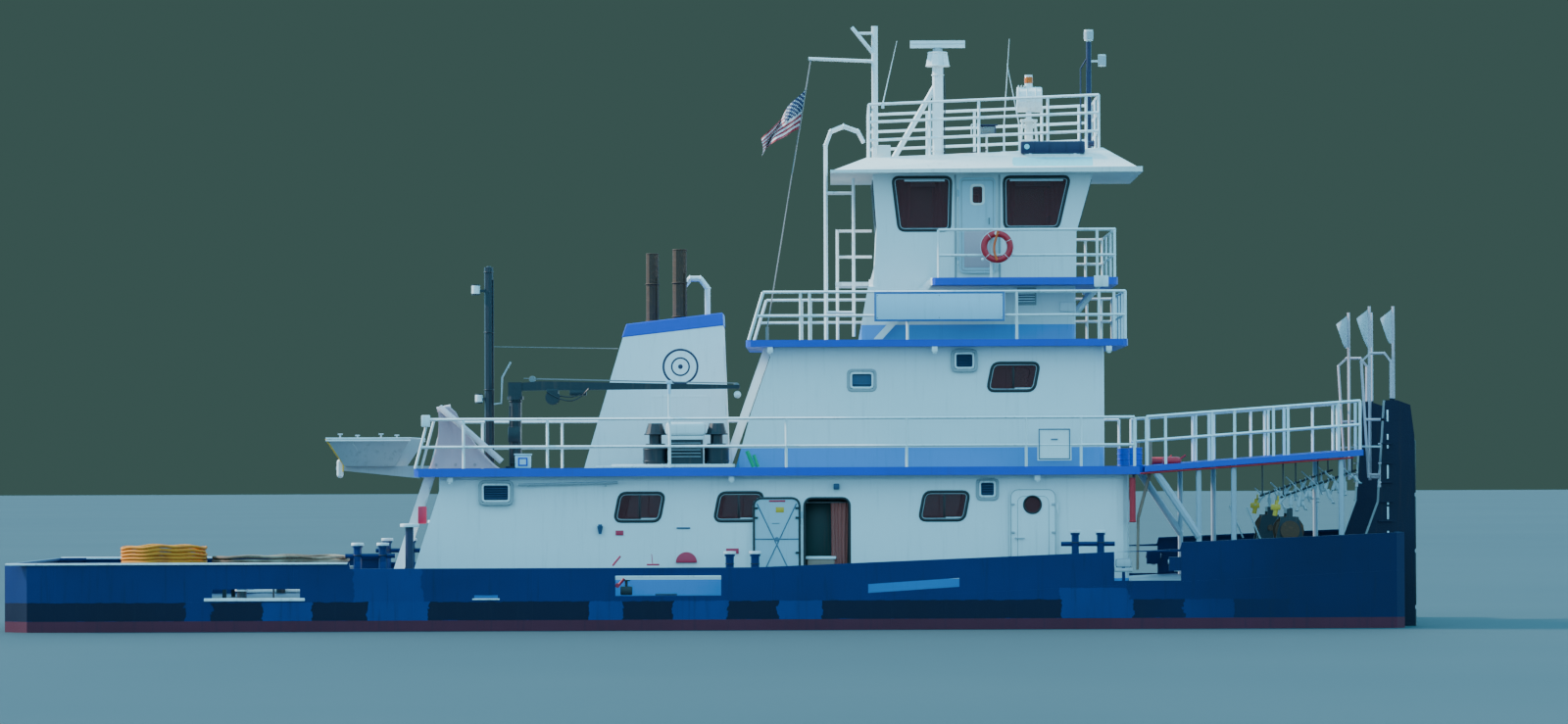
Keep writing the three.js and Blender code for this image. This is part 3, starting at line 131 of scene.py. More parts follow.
def linked(name, data):
    obj = bpy.data.objects.new(name, data)
    bpy.context.scene.collection.objects.link(obj)
    return obj


def placed(obj, where):
    """Each point of the mesh set to what where gives for it."""
    for vertex in obj.data.vertices:
        vertex.co = where(vertex.co)
    obj.data.update()
    return obj


def moved_by(obj, shift):
    """Each point of the mesh moved by what shift gives for it."""
    return placed(obj, lambda at: at + Vector(shift(at)))


def edit_all():
    bpy.ops.object.mode_set(mode="EDIT")
    bpy.ops.mesh.select_all(action="SELECT")


def faces_out():
    """Turns the faces out and leaves edit mode."""
    bpy.ops.mesh.select_all(action="SELECT")
    bpy.ops.mesh.normals_make_consistent(inside=False)
    bpy.ops.object.mode_set(mode="OBJECT")


# Basic forms
def block(low, high, bevel=0.0, segments=2, turn=(0, 0, 0)):
    low, high = Vector(low), Vector(high)
    deselect()
    bpy.ops.mesh.primitive_cube_add(size=1, location=(low + high) / 2, rotation=turn)
    obj = bpy.context.object
    obj.scale = [abs(value) for value in high - low]
    return bevelled(settle(obj), bevel, segments)


def rod(a, b, r, sides=10, tip=None):
    a, b = Vector(a), Vector(b)
    along = b - a
    turn = along.to_track_quat("Z", "Y").to_euler()
    place = {"vertices": sides, "depth": along.length, "location": (a + b) / 2, "rotation": turn}
    deselect()
    if tip is None:
        bpy.ops.mesh.primitive_cylinder_add(radius=r, **place)
    else:
        bpy.ops.mesh.primitive_cone_add(radius1=r, radius2=tip, **place)
    return smooth(settle(bpy.context.object))


def disc(centre, axis, r, thick, sides=24, bevel=0.0):
    half = Vector(axis).normalized() * thick / 2
    obj = rod(Vector(centre) - half, Vector(centre) + half, r, sides)
    return bevelled(obj, bevel, angle_limit=math.radians(50))


def ring(centre, axis, r, tube, sides=32, tube_sides=10):
    turn = Vector(axis).to_track_quat("Z", "Y").to_euler()
    deselect()
    bpy.ops.mesh.primitive_torus_add(major_radius=r, minor_radius=tube, major_segments=sides,
                                     minor_segments=tube_sides, location=centre, rotation=turn)
    return smooth(settle(bpy.context.object), 180)


def ball(centre, r, sides=14):
    deselect()
    bpy.ops.mesh.primitive_uv_sphere_add(segments=sides, ring_count=sides // 2, radius=r, location=centre)
    return smooth(settle(bpy.context.object), 180)


def pipe_along(points, r, sides=8, curved=False):
    curve = bpy.data.curves.new("pipe", "CURVE")
    curve.dimensions = "3D"
    curve.bevel_depth = r
    curve.bevel_resolution = max(0, sides // 4 - 1)
    curve.use_fill_caps = True
    spline = curve.splines.new("NURBS" if curved else "POLY")
    spline.points.add(len(points) - 1)
    for point, place in zip(spline.points, points):
        point.co = (*place, 1)
    if curved:
        spline.order_u = 3
        spline.use_endpoint_u = True
        spline.resolution_u = 4
    choose(linked("pipe", curve))
    bpy.ops.object.convert(target="MESH")
    return smooth(bpy.context.object, 60)


def flat_face(points, axis, start):
    """A filled outline that lies across the given axis, left in edit mode with all of it selected."""
    order = {"x": lambda u, v: (start, u, v), "y": lambda u, v: (u, start, v),
             "z": lambda u, v: (u, v, start)}[axis]
    deselect()
    bpy.ops.mesh.primitive_circle_add(vertices=len(points), radius=1, fill_type="NGON")
    obj = bpy.context.object
    for vertex, (u, v) in zip(obj.data.vertices, points):
        vertex.co = order(u, v)
    obj.data.update()
    edit_all()
    return obj


def thickened(obj, axis, thick, bevel=0.0):
    """The selected faces pushed out along an axis, which closes the form."""
    move = {"x": (thick, 0, 0), "y": (0, thick, 0), "z": (0, 0, thick)}[axis]
    bpy.ops.mesh.extrude_region_move(TRANSFORM_OT_translate={"value": move})
    faces_out()
    return bevelled(obj, bevel)


def outline_plate(points, axis, start, thick, bevel=0.0):
    """A flat outline in the two axes other than the given one, filled and extruded along it."""
    return thickened(flat_face(points, axis, start), axis, thick, bevel)


def frame_ring(points, axis, start, thick, wide, bevel=0.3):
    """A flat frame just outside an outline, as a window's rubber is: filled, inset, opened and extruded."""
    obj = flat_face(grown(points, wide), axis, start)
    bpy.ops.mesh.inset(thickness=wide, use_even_offset=True)
    bpy.ops.mesh.delete(type="FACE")
    bpy.ops.mesh.select_all(action="SELECT")
    return thickened(obj, axis, thick, min(abs(thick), wide) * bevel)


def between_outlines(low, z0, high, z1):
    """A closed form whose floor and top are outlines of the same count, at the heights z0(x) and z1(x)."""
    def where(at):
        index = min(range(len(low)), key=lambda i: (low[i][0] - at.x) ** 2 + (low[i][1] - at.y) ** 2)
        u, v = high[index] if at.z > 0.5 else low[index]
        return u, v, (z1 if at.z > 0.5 else z0)(u)
    return placed(outline_plate(low, "z", 0.0, 1.0), where)


def rounded(u0, u1, v0, v1, r, steps=5):
    points = []
    for cu, cv, quarter in ((u1 - r, v1 - r, 0), (u0 + r, v1 - r, 1), (u0 + r, v0 + r, 2), (u1 - r, v0 + r, 3)):
        for i in range(steps + 1):
            angle = (quarter + i / steps) * math.pi / 2
            points.append((cu + r * math.cos(angle), cv + r * math.sin(angle)))
    return points


def grown(points, by):
    """The outline moved outwards by a distance, for outlines that are nearly convex."""
    count = len(points)
    result = []
    for i, (u, v) in enumerate(points):
        before, after = Vector(points[i - 1]), Vector(points[(i + 1) % count])
        tangent = (after - before).normalized()
        result.append((u + tangent.y * by, v - tangent.x * by))
    return result


def softened(corners, r, steps=4):
    """The outline with each of its corners rounded."""
    points = []
    for i, corner in enumerate(corners):
        here = Vector(corner)
        before = here + (Vector(corners[i - 1]) - here).normalized() * r
        after = here + (Vector(corners[(i + 1) % len(corners)]) - here).normalized() * r
        for k in range(steps + 1):
            share = k / steps
            point = before * (1 - share) ** 2 + here * 2 * share * (1 - share) + after * share ** 2
            points.append((point.x, point.y))
    return points


def oblong(u0, u1, v0, v1):
    return [(u0, v0), (u1, v0), (u1, v1), (u0, v1)]


def both_sides(parts):
    """The starboard pieces and their mirror images, as one list."""
    return list(parts) + [mirrored(part) for part in parts]


def mirrored(obj):
    """A copy on the other side of the centreline, with its faces pointing out."""
    choose(obj)
    bpy.ops.object.duplicate()
    copy = bpy.context.object
    copy.scale.y = -1
    settle(copy)
    edit_all()
    faces_out()
    return copy


def keep(obj, name, finish, body="boat", slot=None, instead_of=()):
    """Names a finished piece, gives it its finish, and tells the frame what carries it."""
    if isinstance(obj, list):
        obj = join(obj)
    obj.name = name
    obj.data.name = name
    obj.data.materials.clear()
    obj.data.materials.append(bpy.data.materials[finish])
    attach(obj, body)
    if instead_of:
        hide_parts(*instead_of)
    return obj


def keep_pair(parts, name, finish, **more):
    """Keeps the starboard parts and their mirror images as one piece."""
    return keep(both_sides(parts), name, finish, **more)


def keep_on_doors(door, made):
    """Each part goes on the starboard door and its mirror image on the port one."""
    for obj, name, finish in made:
        other = mirrored(obj)
        keep(obj, "%s_%s_starboard" % (door, name), finish, door + "_starboard")
        keep(other, "%s_%s_port" % (door, name), finish, door + "_port")


# Shader building
def add_node(tree, kind, values=None, **settings):
    """A node whose inputs are set from numbers or linked from sockets."""
    made = tree.nodes.new(kind)
    for key, value in settings.items():
        setattr(made, key, value)
    for key, value in (values or {}).items():
        if isinstance(value, bpy.types.NodeSocket):
            tree.links.new(value, made.inputs[key])
        else:
            made.inputs[key].default_value = value
    return made


def math_node(tree, operation, a, b=0.0):
    return add_node(tree, "ShaderNodeMath", {0: a, 1: b}, operation=operation).outputs[0]


def plus(tree, a, b):
    return math_node(tree, "ADD", a, b)


def minus(tree, a, b):
    return math_node(tree, "SUBTRACT", a, b)


def times(tree, a, b):
    return math_node(tree, "MULTIPLY", a, b)


def below(tree, value, limit):
    return math_node(tree, "LESS_THAN", value, limit)


def above(tree, value, limit):
    return math_node(tree, "GREATER_THAN", value, limit)


def between(tree, value, low, high):
    return times(tree, above(tree, value, low), below(tree, value, high))


def mix_colour(tree, factor, a, b):
    return add_node(tree, "ShaderNodeMix", {0: factor, 6: a, 7: b}, data_type="RGBA").outputs[2]


def steps_between(tree, value, low, high):
    """0 below low, 1 above high, and a smooth rise between them."""
    return add_node(tree, "ShaderNodeMapRange", {0: value, 1: low, 2: high}, interpolation_type="SMOOTHSTEP").outputs[0]


def object_place(tree):
    return add_node(tree, "ShaderNodeTexCoord").outputs["Object"]


def noise(tree, scale, detail=4.0, rough=0.55, stretch=(1, 1, 1)):
    mapped = add_node(tree, "ShaderNodeMapping", {"Vector": object_place(tree), "Scale": stretch})
    field = {"Vector": mapped.outputs[0], "Scale": scale, "Detail": detail, "Roughness": rough}
    return add_node(tree, "ShaderNodeTexNoise", field).outputs[0]


def new_group(name, inputs, outputs):
    tree = bpy.data.node_groups.new(name, "ShaderNodeTree")
    for label, kind, default in inputs:
        socket = tree.interface.new_socket(label, in_out="INPUT", socket_type=kind)
        socket.default_value = default
    for label, kind in outputs:
        tree.interface.new_socket(label, in_out="OUTPUT", socket_type=kind)
    return tree, tree.nodes.new("NodeGroupInput"), tree.nodes.new("NodeGroupOutput")


COLOUR, NUMBER = "NodeSocketColor", "NodeSocketFloat"


def weathered_paint_group():
    """Paint that fades in patches, with runs of grime down it and a little orange peel."""
    inputs = [("Paint", COLOUR, (0.8, 0.8, 0.8, 1)), ("Grime", COLOUR, (0.2, 0.15, 0.1, 1)),
              ("Runs", NUMBER, 0.2), ("Fade", NUMBER, 0.1), ("Gloss Change", NUMBER, 0.15)]
    tree, given, out = new_group("Weathered Paint", inputs,
                                 [("Color", COLOUR), ("Roughness", NUMBER), ("Height", NUMBER)])
    patches = noise(tree, 0.7, 3)
    faded = add_node(tree, "ShaderNodeHueSaturation", {
        "Color": given.outputs["Paint"],
        "Value": plus(tree, 1.0, times(tree, minus(tree, patches, 0.5), given.outputs["Fade"]))})
    runs = steps_between(tree, noise(tree, 2.2, 5, 0.6, (5, 5, 0.35)), 0.52, 0.78)
    spots = steps_between(tree, noise(tree, 9, 6, 0.7), 0.6, 0.8)
    dirt = times(tree, math_node(tree, "MAXIMUM", runs, times(tree, spots, 0.5)), given.outputs["Runs"])
    gloss = times(tree, plus(tree, patches, dirt), given.outputs["Gloss Change"])
    feed(tree, out, Color=mix_colour(tree, dirt, faded.outputs[0], given.outputs["Grime"]),
         Roughness=plus(tree, gloss, 0.3), Height=plus(tree, noise(tree, 30, 4), times(tree, dirt, 0.6)))


def chips_group():
    """Where paint has chipped off down to rust or primer."""
    tree, given, out = new_group("Paint Chips", [("Amount", NUMBER, 0.3), ("Size", NUMBER, 4.0)], [("Mask", NUMBER)])
    mapped = add_node(tree, "ShaderNodeMapping", {"Vector": object_place(tree), "Scale": (1, 1, 2.2)})
    field = add_node(tree, "ShaderNodeTexNoise", {
        "Vector": mapped.outputs[0], "Scale": given.outputs["Size"], "Detail": 9.0, "Roughness": 0.68})
    edge = minus(tree, 0.78, times(tree, given.outputs["Amount"], 0.3))
    sharp = times(tree, minus(tree, field.outputs[0], edge), 14.0)
    feed(tree, out, Mask=add_node(tree, "ShaderNodeClamp", {"Value": sharp}).outputs[0])


def plating_group():
    """Plates that sink a little between frames, with a weld bead at each seam."""
    tree, given, out = new_group("Hull Plating", [("Frame Spacing", NUMBER, 0.61), ("Seam Spacing", NUMBER, 2.44)],
                                 [("Height", NUMBER)])
    place = add_node(tree, "ShaderNodeSeparateXYZ", {0: object_place(tree)})
    turn = times(tree, place.outputs[0], 2 * math.pi)
    turn = math_node(tree, "DIVIDE", turn, given.outputs["Frame Spacing"])
    sunk = times(tree, math_node(tree, "SINE", turn), 0.5)
    uneven = times(tree, sunk, noise(tree, 0.9, 2))
    along = math_node(tree, "FRACT", math_node(tree, "DIVIDE", place.outputs[0], given.outputs["Seam Spacing"]))
    bead = below(tree, math_node(tree, "ABSOLUTE", minus(tree, along, 0.5)), 0.006)
    feed(tree, out, Height=plus(tree, uneven, times(tree, bead, 0.5)))


def weave_group():
    """Crossing threads, for canvas, bunting and rope."""
    tree, given, out = new_group("Thread Weave", [("Threads", NUMBER, 300.0)], [("Height", NUMBER), ("Shade", NUMBER)])
    place = add_node(tree, "ShaderNodeSeparateXYZ", {0: object_place(tree)})
    sines = [math_node(tree, "SINE", times(tree, place.outputs[axis], given.outputs["Threads"])) for axis in (0, 2)]
    crossed = times(tree, *sines)
    shade = add_node(tree, "ShaderNodeMapRange", {0: crossed, 1: -1.0, 2: 1.0, 3: 0.85, 4: 1.0})
    feed(tree, out, Height=crossed, Shade=shade.outputs[0])


def group_node(tree, name, values):
    return add_node(tree, "ShaderNodeGroup", values, node_tree=bpy.data.node_groups[name])


def new_material(name, **sockets):
    material = bpy.data.materials.new(name)
    material.use_nodes = True
    tree = material.node_tree
    shader = tree.nodes["Principled BSDF"]
    for key, value in sockets.items():
        shader.inputs[key.replace("_", " ")].default_value = value
    return material, tree, shader


def feed(tree, node, **sockets):
    """Links sockets to the inputs whose names are given, with _ for a space."""
    for key, socket in sockets.items():
        tree.links.new(socket, node.inputs[key.replace("_", " ")])


def bump(tree, shader, height, distance, strength=0.6):
    made = add_node(tree, "ShaderNodeBump", {"Height": height, "Distance": distance, "Strength": strength})
    feed(tree, shader, Normal=made.outputs[0])


PRIMER = (0.09, 0.035, 0.02, 1)


def paint(name, colour, grime=(0.10, 0.07, 0.05, 1), runs=0.25, fade=0.25, chips=0.0, under=PRIMER, chip_size=4.0,
          bands=(), panels=(), strake=None, top=None, fore=None, plating=0.0, depth=0.002, gloss=0.2, shine=0.5):
    """Ship's paint. bands lists (height, colour) for paint below a height, panels (x0, x1, z0, z1, colour) for
    patches, strake (z0, z1, stops) for a strip whose colour changes along the boat, top the paint of decks, and
    fore (x0, x1, colour) the painted shade that the coat darkens to towards the bow."""
    material, tree, shader = new_material(name, Specular_IOR_Level=shine)
    place = add_node(tree, "ShaderNodeSeparateXYZ", {0: object_place(tree)})
    coat = add_node(tree, "ShaderNodeRGB")
    coat.outputs[0].default_value = colour
    base = coat.outputs[0]
    if strake or panels:
        ragged = minus(tree, noise(tree, 5, 6, 0.65), 0.5)
        uneven = times(tree, ragged, 0.30 if strake else 0.10)
        along = plus(tree, place.outputs[0], uneven)
        up = plus(tree, place.outputs[2], times(tree, uneven, 0.25))
    for x0, x1, z0, z1, patch in panels:
        mask = times(tree, between(tree, along, x0, x1), between(tree, up, z0, z1))
        base = mix_colour(tree, mask, base, patch)
    if strake:
        z0, z1, stops = strake
        share = add_node(tree, "ShaderNodeMapRange", {0: along, 1: CAD_BOX[0][0], 2: CAD_BOX[1][0]}).outputs[0]
        ramp = add_node(tree, "ShaderNodeValToRGB", {0: share})
        ramp.color_ramp.interpolation = "CONSTANT"
        for i, (x, patch) in enumerate(stops):
            at = (x - CAD_BOX[0][0]) / (CAD_BOX[1][0] - CAD_BOX[0][0])
            element = ramp.color_ramp.elements[i] if i < 2 else ramp.color_ramp.elements.new(at)
            element.position = at
            element.color = patch
        base = mix_colour(tree, between(tree, up, z0, z1), base, ramp.outputs[0])
    # The darkening towards the bow is painted shade.
    if fore:
        base = mix_colour(tree, steps_between(tree, place.outputs[0], fore[0], fore[1]), base, fore[2])
    for height, band in bands:
        base = mix_colour(tree, below(tree, place.outputs[2], height), base, band)
    if top:
        facing = add_node(tree, "ShaderNodeSeparateXYZ", {0: add_node(tree, "ShaderNodeTexCoord").outputs["Normal"]})
        base = mix_colour(tree, above(tree, facing.outputs[2], 0.9), base, top)
    weather = group_node(tree, "Weathered Paint", {
        "Paint": base, "Grime": grime, "Runs": runs, "Fade": fade, "Gloss Change": gloss})
    result = weather.outputs["Color"]
    height = weather.outputs["Height"]
    rough = weather.outputs["Roughness"]
    if chips:
        chipped = group_node(tree, "Paint Chips", {"Amount": chips, "Size": chip_size}).outputs["Mask"]
        result = mix_colour(tree, chipped, result, under)
        rough = plus(tree, rough, times(tree, chipped, 0.35))
        height = minus(tree, height, chipped)
    if plating:
        plates = group_node(tree, "Hull Plating", {"Frame Spacing": 0.61, "Seam Spacing": 2.44}).outputs["Height"]
        height = plus(tree, height, times(tree, plates, plating))
    feed(tree, shader, Base_Color=result, Roughness=rough)
    bump(tree, shader, height, depth)
    return material


# Colours, linear
def rgb(red, green, blue):
    return (red, green, blue, 1)


RUST, RUST_DARK = rgb(0.12, 0.042, 0.018), rgb(0.045, 0.02, 0.012)

# Where the colour of the lower strake changes, from stern to bow: 0 dark, 1 plain, 2 fresh. Dark is paint worn by
# scuffs, except the stretch from 2.22 to 7.1, which is painted shade below a bulwark opening.
STRAKE_CHANGES = ((-14.5, 0), (-10.8, 1), (-10.3, 0), (-9.26, 2), (-8.2, 0), (-7.12, 2), (-5.8, 0), (-2.5, 2),
                  (-1.86, 0),
                  (-0.86, 2), (0.24, 0), (1.26, 2), (2.22, 0), (7.1, 2), (8.5, 0), (9.6, 2), (10.6, 0), (11.7, 1))


def hull_finish(name, paints, chips):
    # The dark strake colour is paint worn by scuffs, and painted shade on the stretch from 2.22 to 7.1.
    navy, fresh, scuffed_and_shaded = tuple(paints.hull) + (1,), rgb(0.002, 0.036, 0.165), rgb(0.002, 0.005, 0.025)
    shades = (scuffed_and_shaded, navy, fresh)
    # The coat darkens from 6.5 to 13.0 towards the bow as painted shade.
    return paint(
        name, navy, grime=rgb(0.008, 0.014, 0.035), runs=0.4, fade=0.5, chips=chips, under=RUST, chip_size=2.2,
        bands=[(2.66, tuple(paints.boot_top) + (1,))], top=rgb(0.02, 0.05, 0.10), plating=5.0, depth=0.004,
        fore=(6.5, 13.0, rgb(0.001, 0.010, 0.055)), shine=0.22,
        panels=[(-7.3, -5.9, 3.04, 3.86, rgb(0.002, 0.032, 0.155)), (7.1, 8.5, 2.95, 3.28, fresh)],
        strake=(2.66, 3.04, [(x, shades[kind]) for x, kind in STRAKE_CHANGES]))


def knee_finish(name):
    """The knees are dark, and the poles and hoops on them, which are of the same node, are a faded pink."""
    pink = rgb(0.56, 0.46, 0.50)
    return paint(name, rgb(0.0025, 0.006, 0.026), runs=0.5, fade=0.4, chips=0.3, under=RUST_DARK, chip_size=2.5,
                 grime=rgb(0.03, 0.02, 0.025), depth=0.006, shine=0.25,
                 panels=[(12.0, 15.0, 7.14, 9.2, pink), (12.0, 13.80, 5.3, 7.16, pink)])


def bare_metal(name, colour, rough, metallic):
    material, tree, shader = new_material(name, Metallic=metallic)
    weather = group_node(tree, "Weathered Paint", {
        "Paint": colour, "Grime": rgb(0.08, 0.07, 0.06), "Runs": 0.3, "Fade": 0.35, "Gloss Change": rough})
    feed(tree, shader, Base_Color=weather.outputs["Color"], Roughness=weather.outputs["Roughness"])
    bump(tree, shader, weather.outputs["Height"], 0.001)
    return material


def rusted(name, colour=RUST, dark=RUST_DARK):
    material, tree, shader = new_material(name)
    scale = group_node(tree, "Paint Chips", {"Amount": 0.8, "Size": 6.0}).outputs["Mask"]
    fine = noise(tree, 18, 6, 0.7)
    base = mix_colour(tree, scale, dark, colour)
    flecked = mix_colour(tree, times(tree, fine, 0.5), base, rgb(0.2, 0.08, 0.03))
    feed(tree, shader, Base_Color=flecked, Roughness=plus(tree, 0.55, times(tree, fine, 0.35)))
    bump(tree, shader, plus(tree, fine, scale), 0.003)
    return material


def cloth(name, colour, fold_shade):
    material, tree, shader = new_material(name, Sheen_Weight=0.3)
    weave = group_node(tree, "Thread Weave", {"Threads": 900.0})
    worn = noise(tree, 1.3, 5)
    # The second colour is a darker copy of the cloth's own, painted shade of folds; up to 30% of it is mixed in by
    # patches of noise, which also vary the roughness.
    base = mix_colour(tree, times(tree, worn, 0.3), colour, fold_shade)
    shaded = add_node(tree, "ShaderNodeMix", {0: 1.0, 6: base, 7: weave.outputs["Shade"]}, data_type="RGBA",
                      blend_type="MULTIPLY")
    feed(tree, shader, Base_Color=shaded.outputs[2], Roughness=plus(tree, 0.75, times(tree, worn, 0.2)))
    bump(tree, shader, weave.outputs["Height"], 0.001)
    return material


def rope_finish(name, colour, worn):
    """Laid rope: fibres run along each strand, which the UV map follows."""
    material, tree, shader = new_material(name)
    uv = add_node(tree, "ShaderNodeUVMap", uv_map="UVMap")
    fibres = add_node(tree, "ShaderNodeMapping", {"Vector": uv.outputs[0], "Scale": (60, 2, 1)})
    fibre = add_node(tree, "ShaderNodeTexNoise", {"Vector": fibres.outputs[0], "Scale": 3.0, "Detail": 3.0}).outputs[0]
    patches = steps_between(tree, noise(tree, 1.6, 5), 0.42, 0.62)
    base = mix_colour(tree, patches, colour, worn)
    dark = mix_colour(tree, times(tree, fibre, 0.6), base, rgb(0.06, 0.04, 0.025))
    feed(tree, shader, Base_Color=dark, Roughness=plus(tree, 0.65, times(tree, fibre, 0.3)))
    bump(tree, shader, fibre, 0.004)
    return material


def glass_finish(name, tint, rough, clear, cover=1.0):
    """cover is how much of what is behind a dark pane it hides."""
    material, tree, shader = new_material(name, Transmission_Weight=clear, IOR=1.5, Specular_IOR_Level=0.16,
                                          Alpha=cover)
    dust = noise(tree, 2.5, 5, stretch=(1, 1, 0.6))
    thin = times(tree, dust, 0.08)
    feed(tree, shader, Base_Color=mix_colour(tree, thin, tint, rgb(0.3, 0.3, 0.28)), Roughness=plus(tree, rough, thin))
    return material


def flag_finish(name):
    """Bunting by the sheet's UV map: thirteen stripes, and a canton with staggered rows of small stars."""
    material, tree, shader = new_material(name, Sheen_Weight=0.3, Roughness=0.75)
    place = add_node(tree, "ShaderNodeSeparateXYZ", {0: add_node(tree, "ShaderNodeUVMap", uv_map="UVMap").outputs[0]})
    along, up = place.outputs[0], place.outputs[1]
    count = math_node(tree, "FLOOR", times(tree, up, 13.0))
    odd = math_node(tree, "MODULO", count, 2.0)
    # The stripes' red and the canton's blue are the bunting's colours made darker with painted shade.
    stripes = mix_colour(tree, above(tree, odd, 0.5), rgb(0.42, 0.008, 0.03), rgb(0.74, 0.68, 0.70))
    width, foot = 0.42, 6 / 13
    canton = times(tree, below(tree, along, width), above(tree, up, foot))
    row = times(tree, minus(tree, up, foot), 9 * 13 / 7)
    shift = times(tree, math_node(tree, "MODULO", math_node(tree, "FLOOR", row), 2.0), 0.5)
    column = plus(tree, times(tree, along, 6 / width), shift)
    across = times(tree, minus(tree, math_node(tree, "FRACT", column), 0.5), 1.3)
    over = minus(tree, math_node(tree, "FRACT", row), 0.5)
    reach = plus(tree, times(tree, across, across), times(tree, over, over))
    star = below(tree, reach, 0.07)
    union = mix_colour(tree, star, rgb(0.006, 0.012, 0.075), rgb(0.74, 0.74, 0.78))
    feed(tree, shader, Base_Color=mix_colour(tree, canton, stripes, union))
    bump(tree, shader, group_node(tree, "Thread Weave", {"Threads": 900.0}).outputs["Height"], 0.001)
    return material


PALE_CYAN = (0.25, 0.68, 0.74)

# Plain paints by name: colour, runs, fade, and for those that chip the chips, their size and what is under them
PLAIN_PAINTS = {
    "door_blue": ((0.42, 0.55, 0.62), 0.25, 0.2, 0.04, 7, PRIMER),
    "gear_black": ((0.012, 0.016, 0.026), 0.4, 0.4, 0.25, 6, RUST_DARK),
    "gear_grey": ((0.42, 0.45, 0.48), 0.3, 0.2, 0.15, 6, RUST),
    "orange_paint": ((0.85, 0.12, 0.02), 0.1, 0.2),
    "yellow_paint": ((0.75, 0.42, 0.03), 0.3, 0.3, 0.2, 4, RUST),
    "panel_navy": ((0.01, 0.015, 0.06), 0.1, 0.2),
    "board_blue": ((0.46, 0.66, 0.80), 0.12, 0.12),
    "pale_cyan": (PALE_CYAN, 0.2, 0.3),
    "green_plastic": ((0.005, 0.35, 0.16), 0.05, 0.2),
    "bollard_white": ((0.75, 0.78, 0.80), 0.4, 0.2, 0.25, 8, RUST),
    "unit_grey": ((0.36, 0.38, 0.40), 0.25, 0.2, 0.08, 8, RUST),
    "unit_dark": ((0.03, 0.075, 0.16), 0.3, 0.3),
    "brace_blue": ((0.10, 0.16, 0.24), 0.3, 0.3, 0.1, 9, RUST),
    "faded_red": ((0.62, 0.02, 0.07), 0.2, 0.3),
    "faded_pink": ((0.55, 0.40, 0.44), 0.3, 0.3),
    "passage_green": ((0.01, 0.045, 0.045), 0.3, 0.4),
    "tan_paint": ((0.30, 0.17, 0.12), 0.4, 0.3, 0.15, 8, RUST),
    "border_blue": ((0.02, 0.10, 0.36), 0.15, 0.2)}


def plain_paint(name, colour, runs, fade, chips=0.0, size=4, under=PRIMER):
    paint(name, rgb(*colour), runs=runs, fade=fade, chips=chips, chip_size=size, under=under)


def build_finishes(paints):
    for build in (weathered_paint_group, chips_group, plating_group, weave_group):
        build()
    white, blue, band = (tuple(colour) + (1,) for colour in (paints.house, paints.deck_edge, paints.band))
    hull_finish("hull_blue", paints, 0.12)
    hull_finish("bulwark_blue", paints, 0.18)
    for name, height in (("main_house_white", 3.45), ("second_house_white", 6.16), ("base_house_white", 8.72)):
        paint(name, white, runs=0.10, fade=0.10, bands=[(height, band)], plating=1.6, depth=0.0025, gloss=0.12)
    paint("house_white", white, runs=0.12, fade=0.10, plating=0.8, depth=0.002, gloss=0.12)
    paint("rail_white", white, runs=0.35, fade=0.15, chips=0.10, under=RUST, chip_size=7)
    paint("roof_white", rgb(0.80, 0.79, 0.76), runs=0.2, fade=0.15, panels=[(6.25, 7.9, 11.99, 12.19, rgb(*PALE_CYAN))])
    deck = {"runs": 0.2, "fade": 0.3, "chips": 0.10, "top": rgb(0.09, 0.15, 0.21), "depth": 0.003}
    paint("deck_blue", blue, **deck)
    paint("wing_blue", blue, panels=[(3.0, 4.56, 9.4, 9.8, white)], bands=[(9.51, white)], **deck)
    paint("trim_blue", blue, runs=0.15, fade=0.3, chips=0.05)
    knee_finish("knee_black")
    for name, values in PLAIN_PAINTS.items():
        plain_paint(name, *values)
    paint("red_paint", rgb(0.60, 0.012, 0.03), runs=0.2, fade=0.3, grime=rgb(0.2, 0.02, 0.02))
    paint("rubber_black", rgb(0.010, 0.012, 0.016), runs=0.2, fade=0.3, grime=rgb(0.05, 0.05, 0.05), depth=0.001)
    rusted("rust")
    rusted("exhaust_brown", rgb(0.05, 0.022, 0.016), rgb(0.015, 0.010, 0.010))
    for name, colour, rough, metallic in (
            ("weathered_aluminium", (0.42, 0.50, 0.52), 0.35, 0.55), ("propeller_bronze", (0.42, 0.27, 0.11), 0.3, 0.9),
            ("wire_steel", (0.22, 0.22, 0.23), 0.4, 0.8), ("frame_silver", (0.55, 0.60, 0.63), 0.3, 0.7)):
        bare_metal(name, rgb(*colour), rough, metallic)
    # Cloths: name, colour, and a darker copy of the colour as painted shade of folds.
    for name, colour, fold_shade in (
            ("faded_canvas", (0.55, 0.36, 0.42), (0.40, 0.20, 0.28)),
            ("pennant_cloth", (0.6, 0.6, 0.62), (0.4, 0.42, 0.5)),
            ("pale_canvas", (0.74, 0.60, 0.64), (0.55, 0.42, 0.48)),
            ("curtain_cloth", (0.55, 0.13, 0.10), (0.30, 0.05, 0.06))):
        cloth(name, rgb(*colour), rgb(*fold_shade))
    rope_finish("golden_rope", rgb(1.0, 0.30, 0.006), rgb(0.70, 0.16, 0.012))
    rope_finish("worn_rope", rgb(0.22, 0.13, 0.085), rgb(0.48, 0.38, 0.28))
    flag_finish("ensign_bunting")
    glass_finish("tinted_glass", rgb(0.12, 0.014, 0.020), 0.03, 0.0, 0.55)
    glass_finish("lamp_glass", rgb(0.8, 0.8, 0.75), 0.08, 0.8)
    glass_finish("amber_glass", rgb(0.9, 0.16, 0.01), 0.1, 0.3)


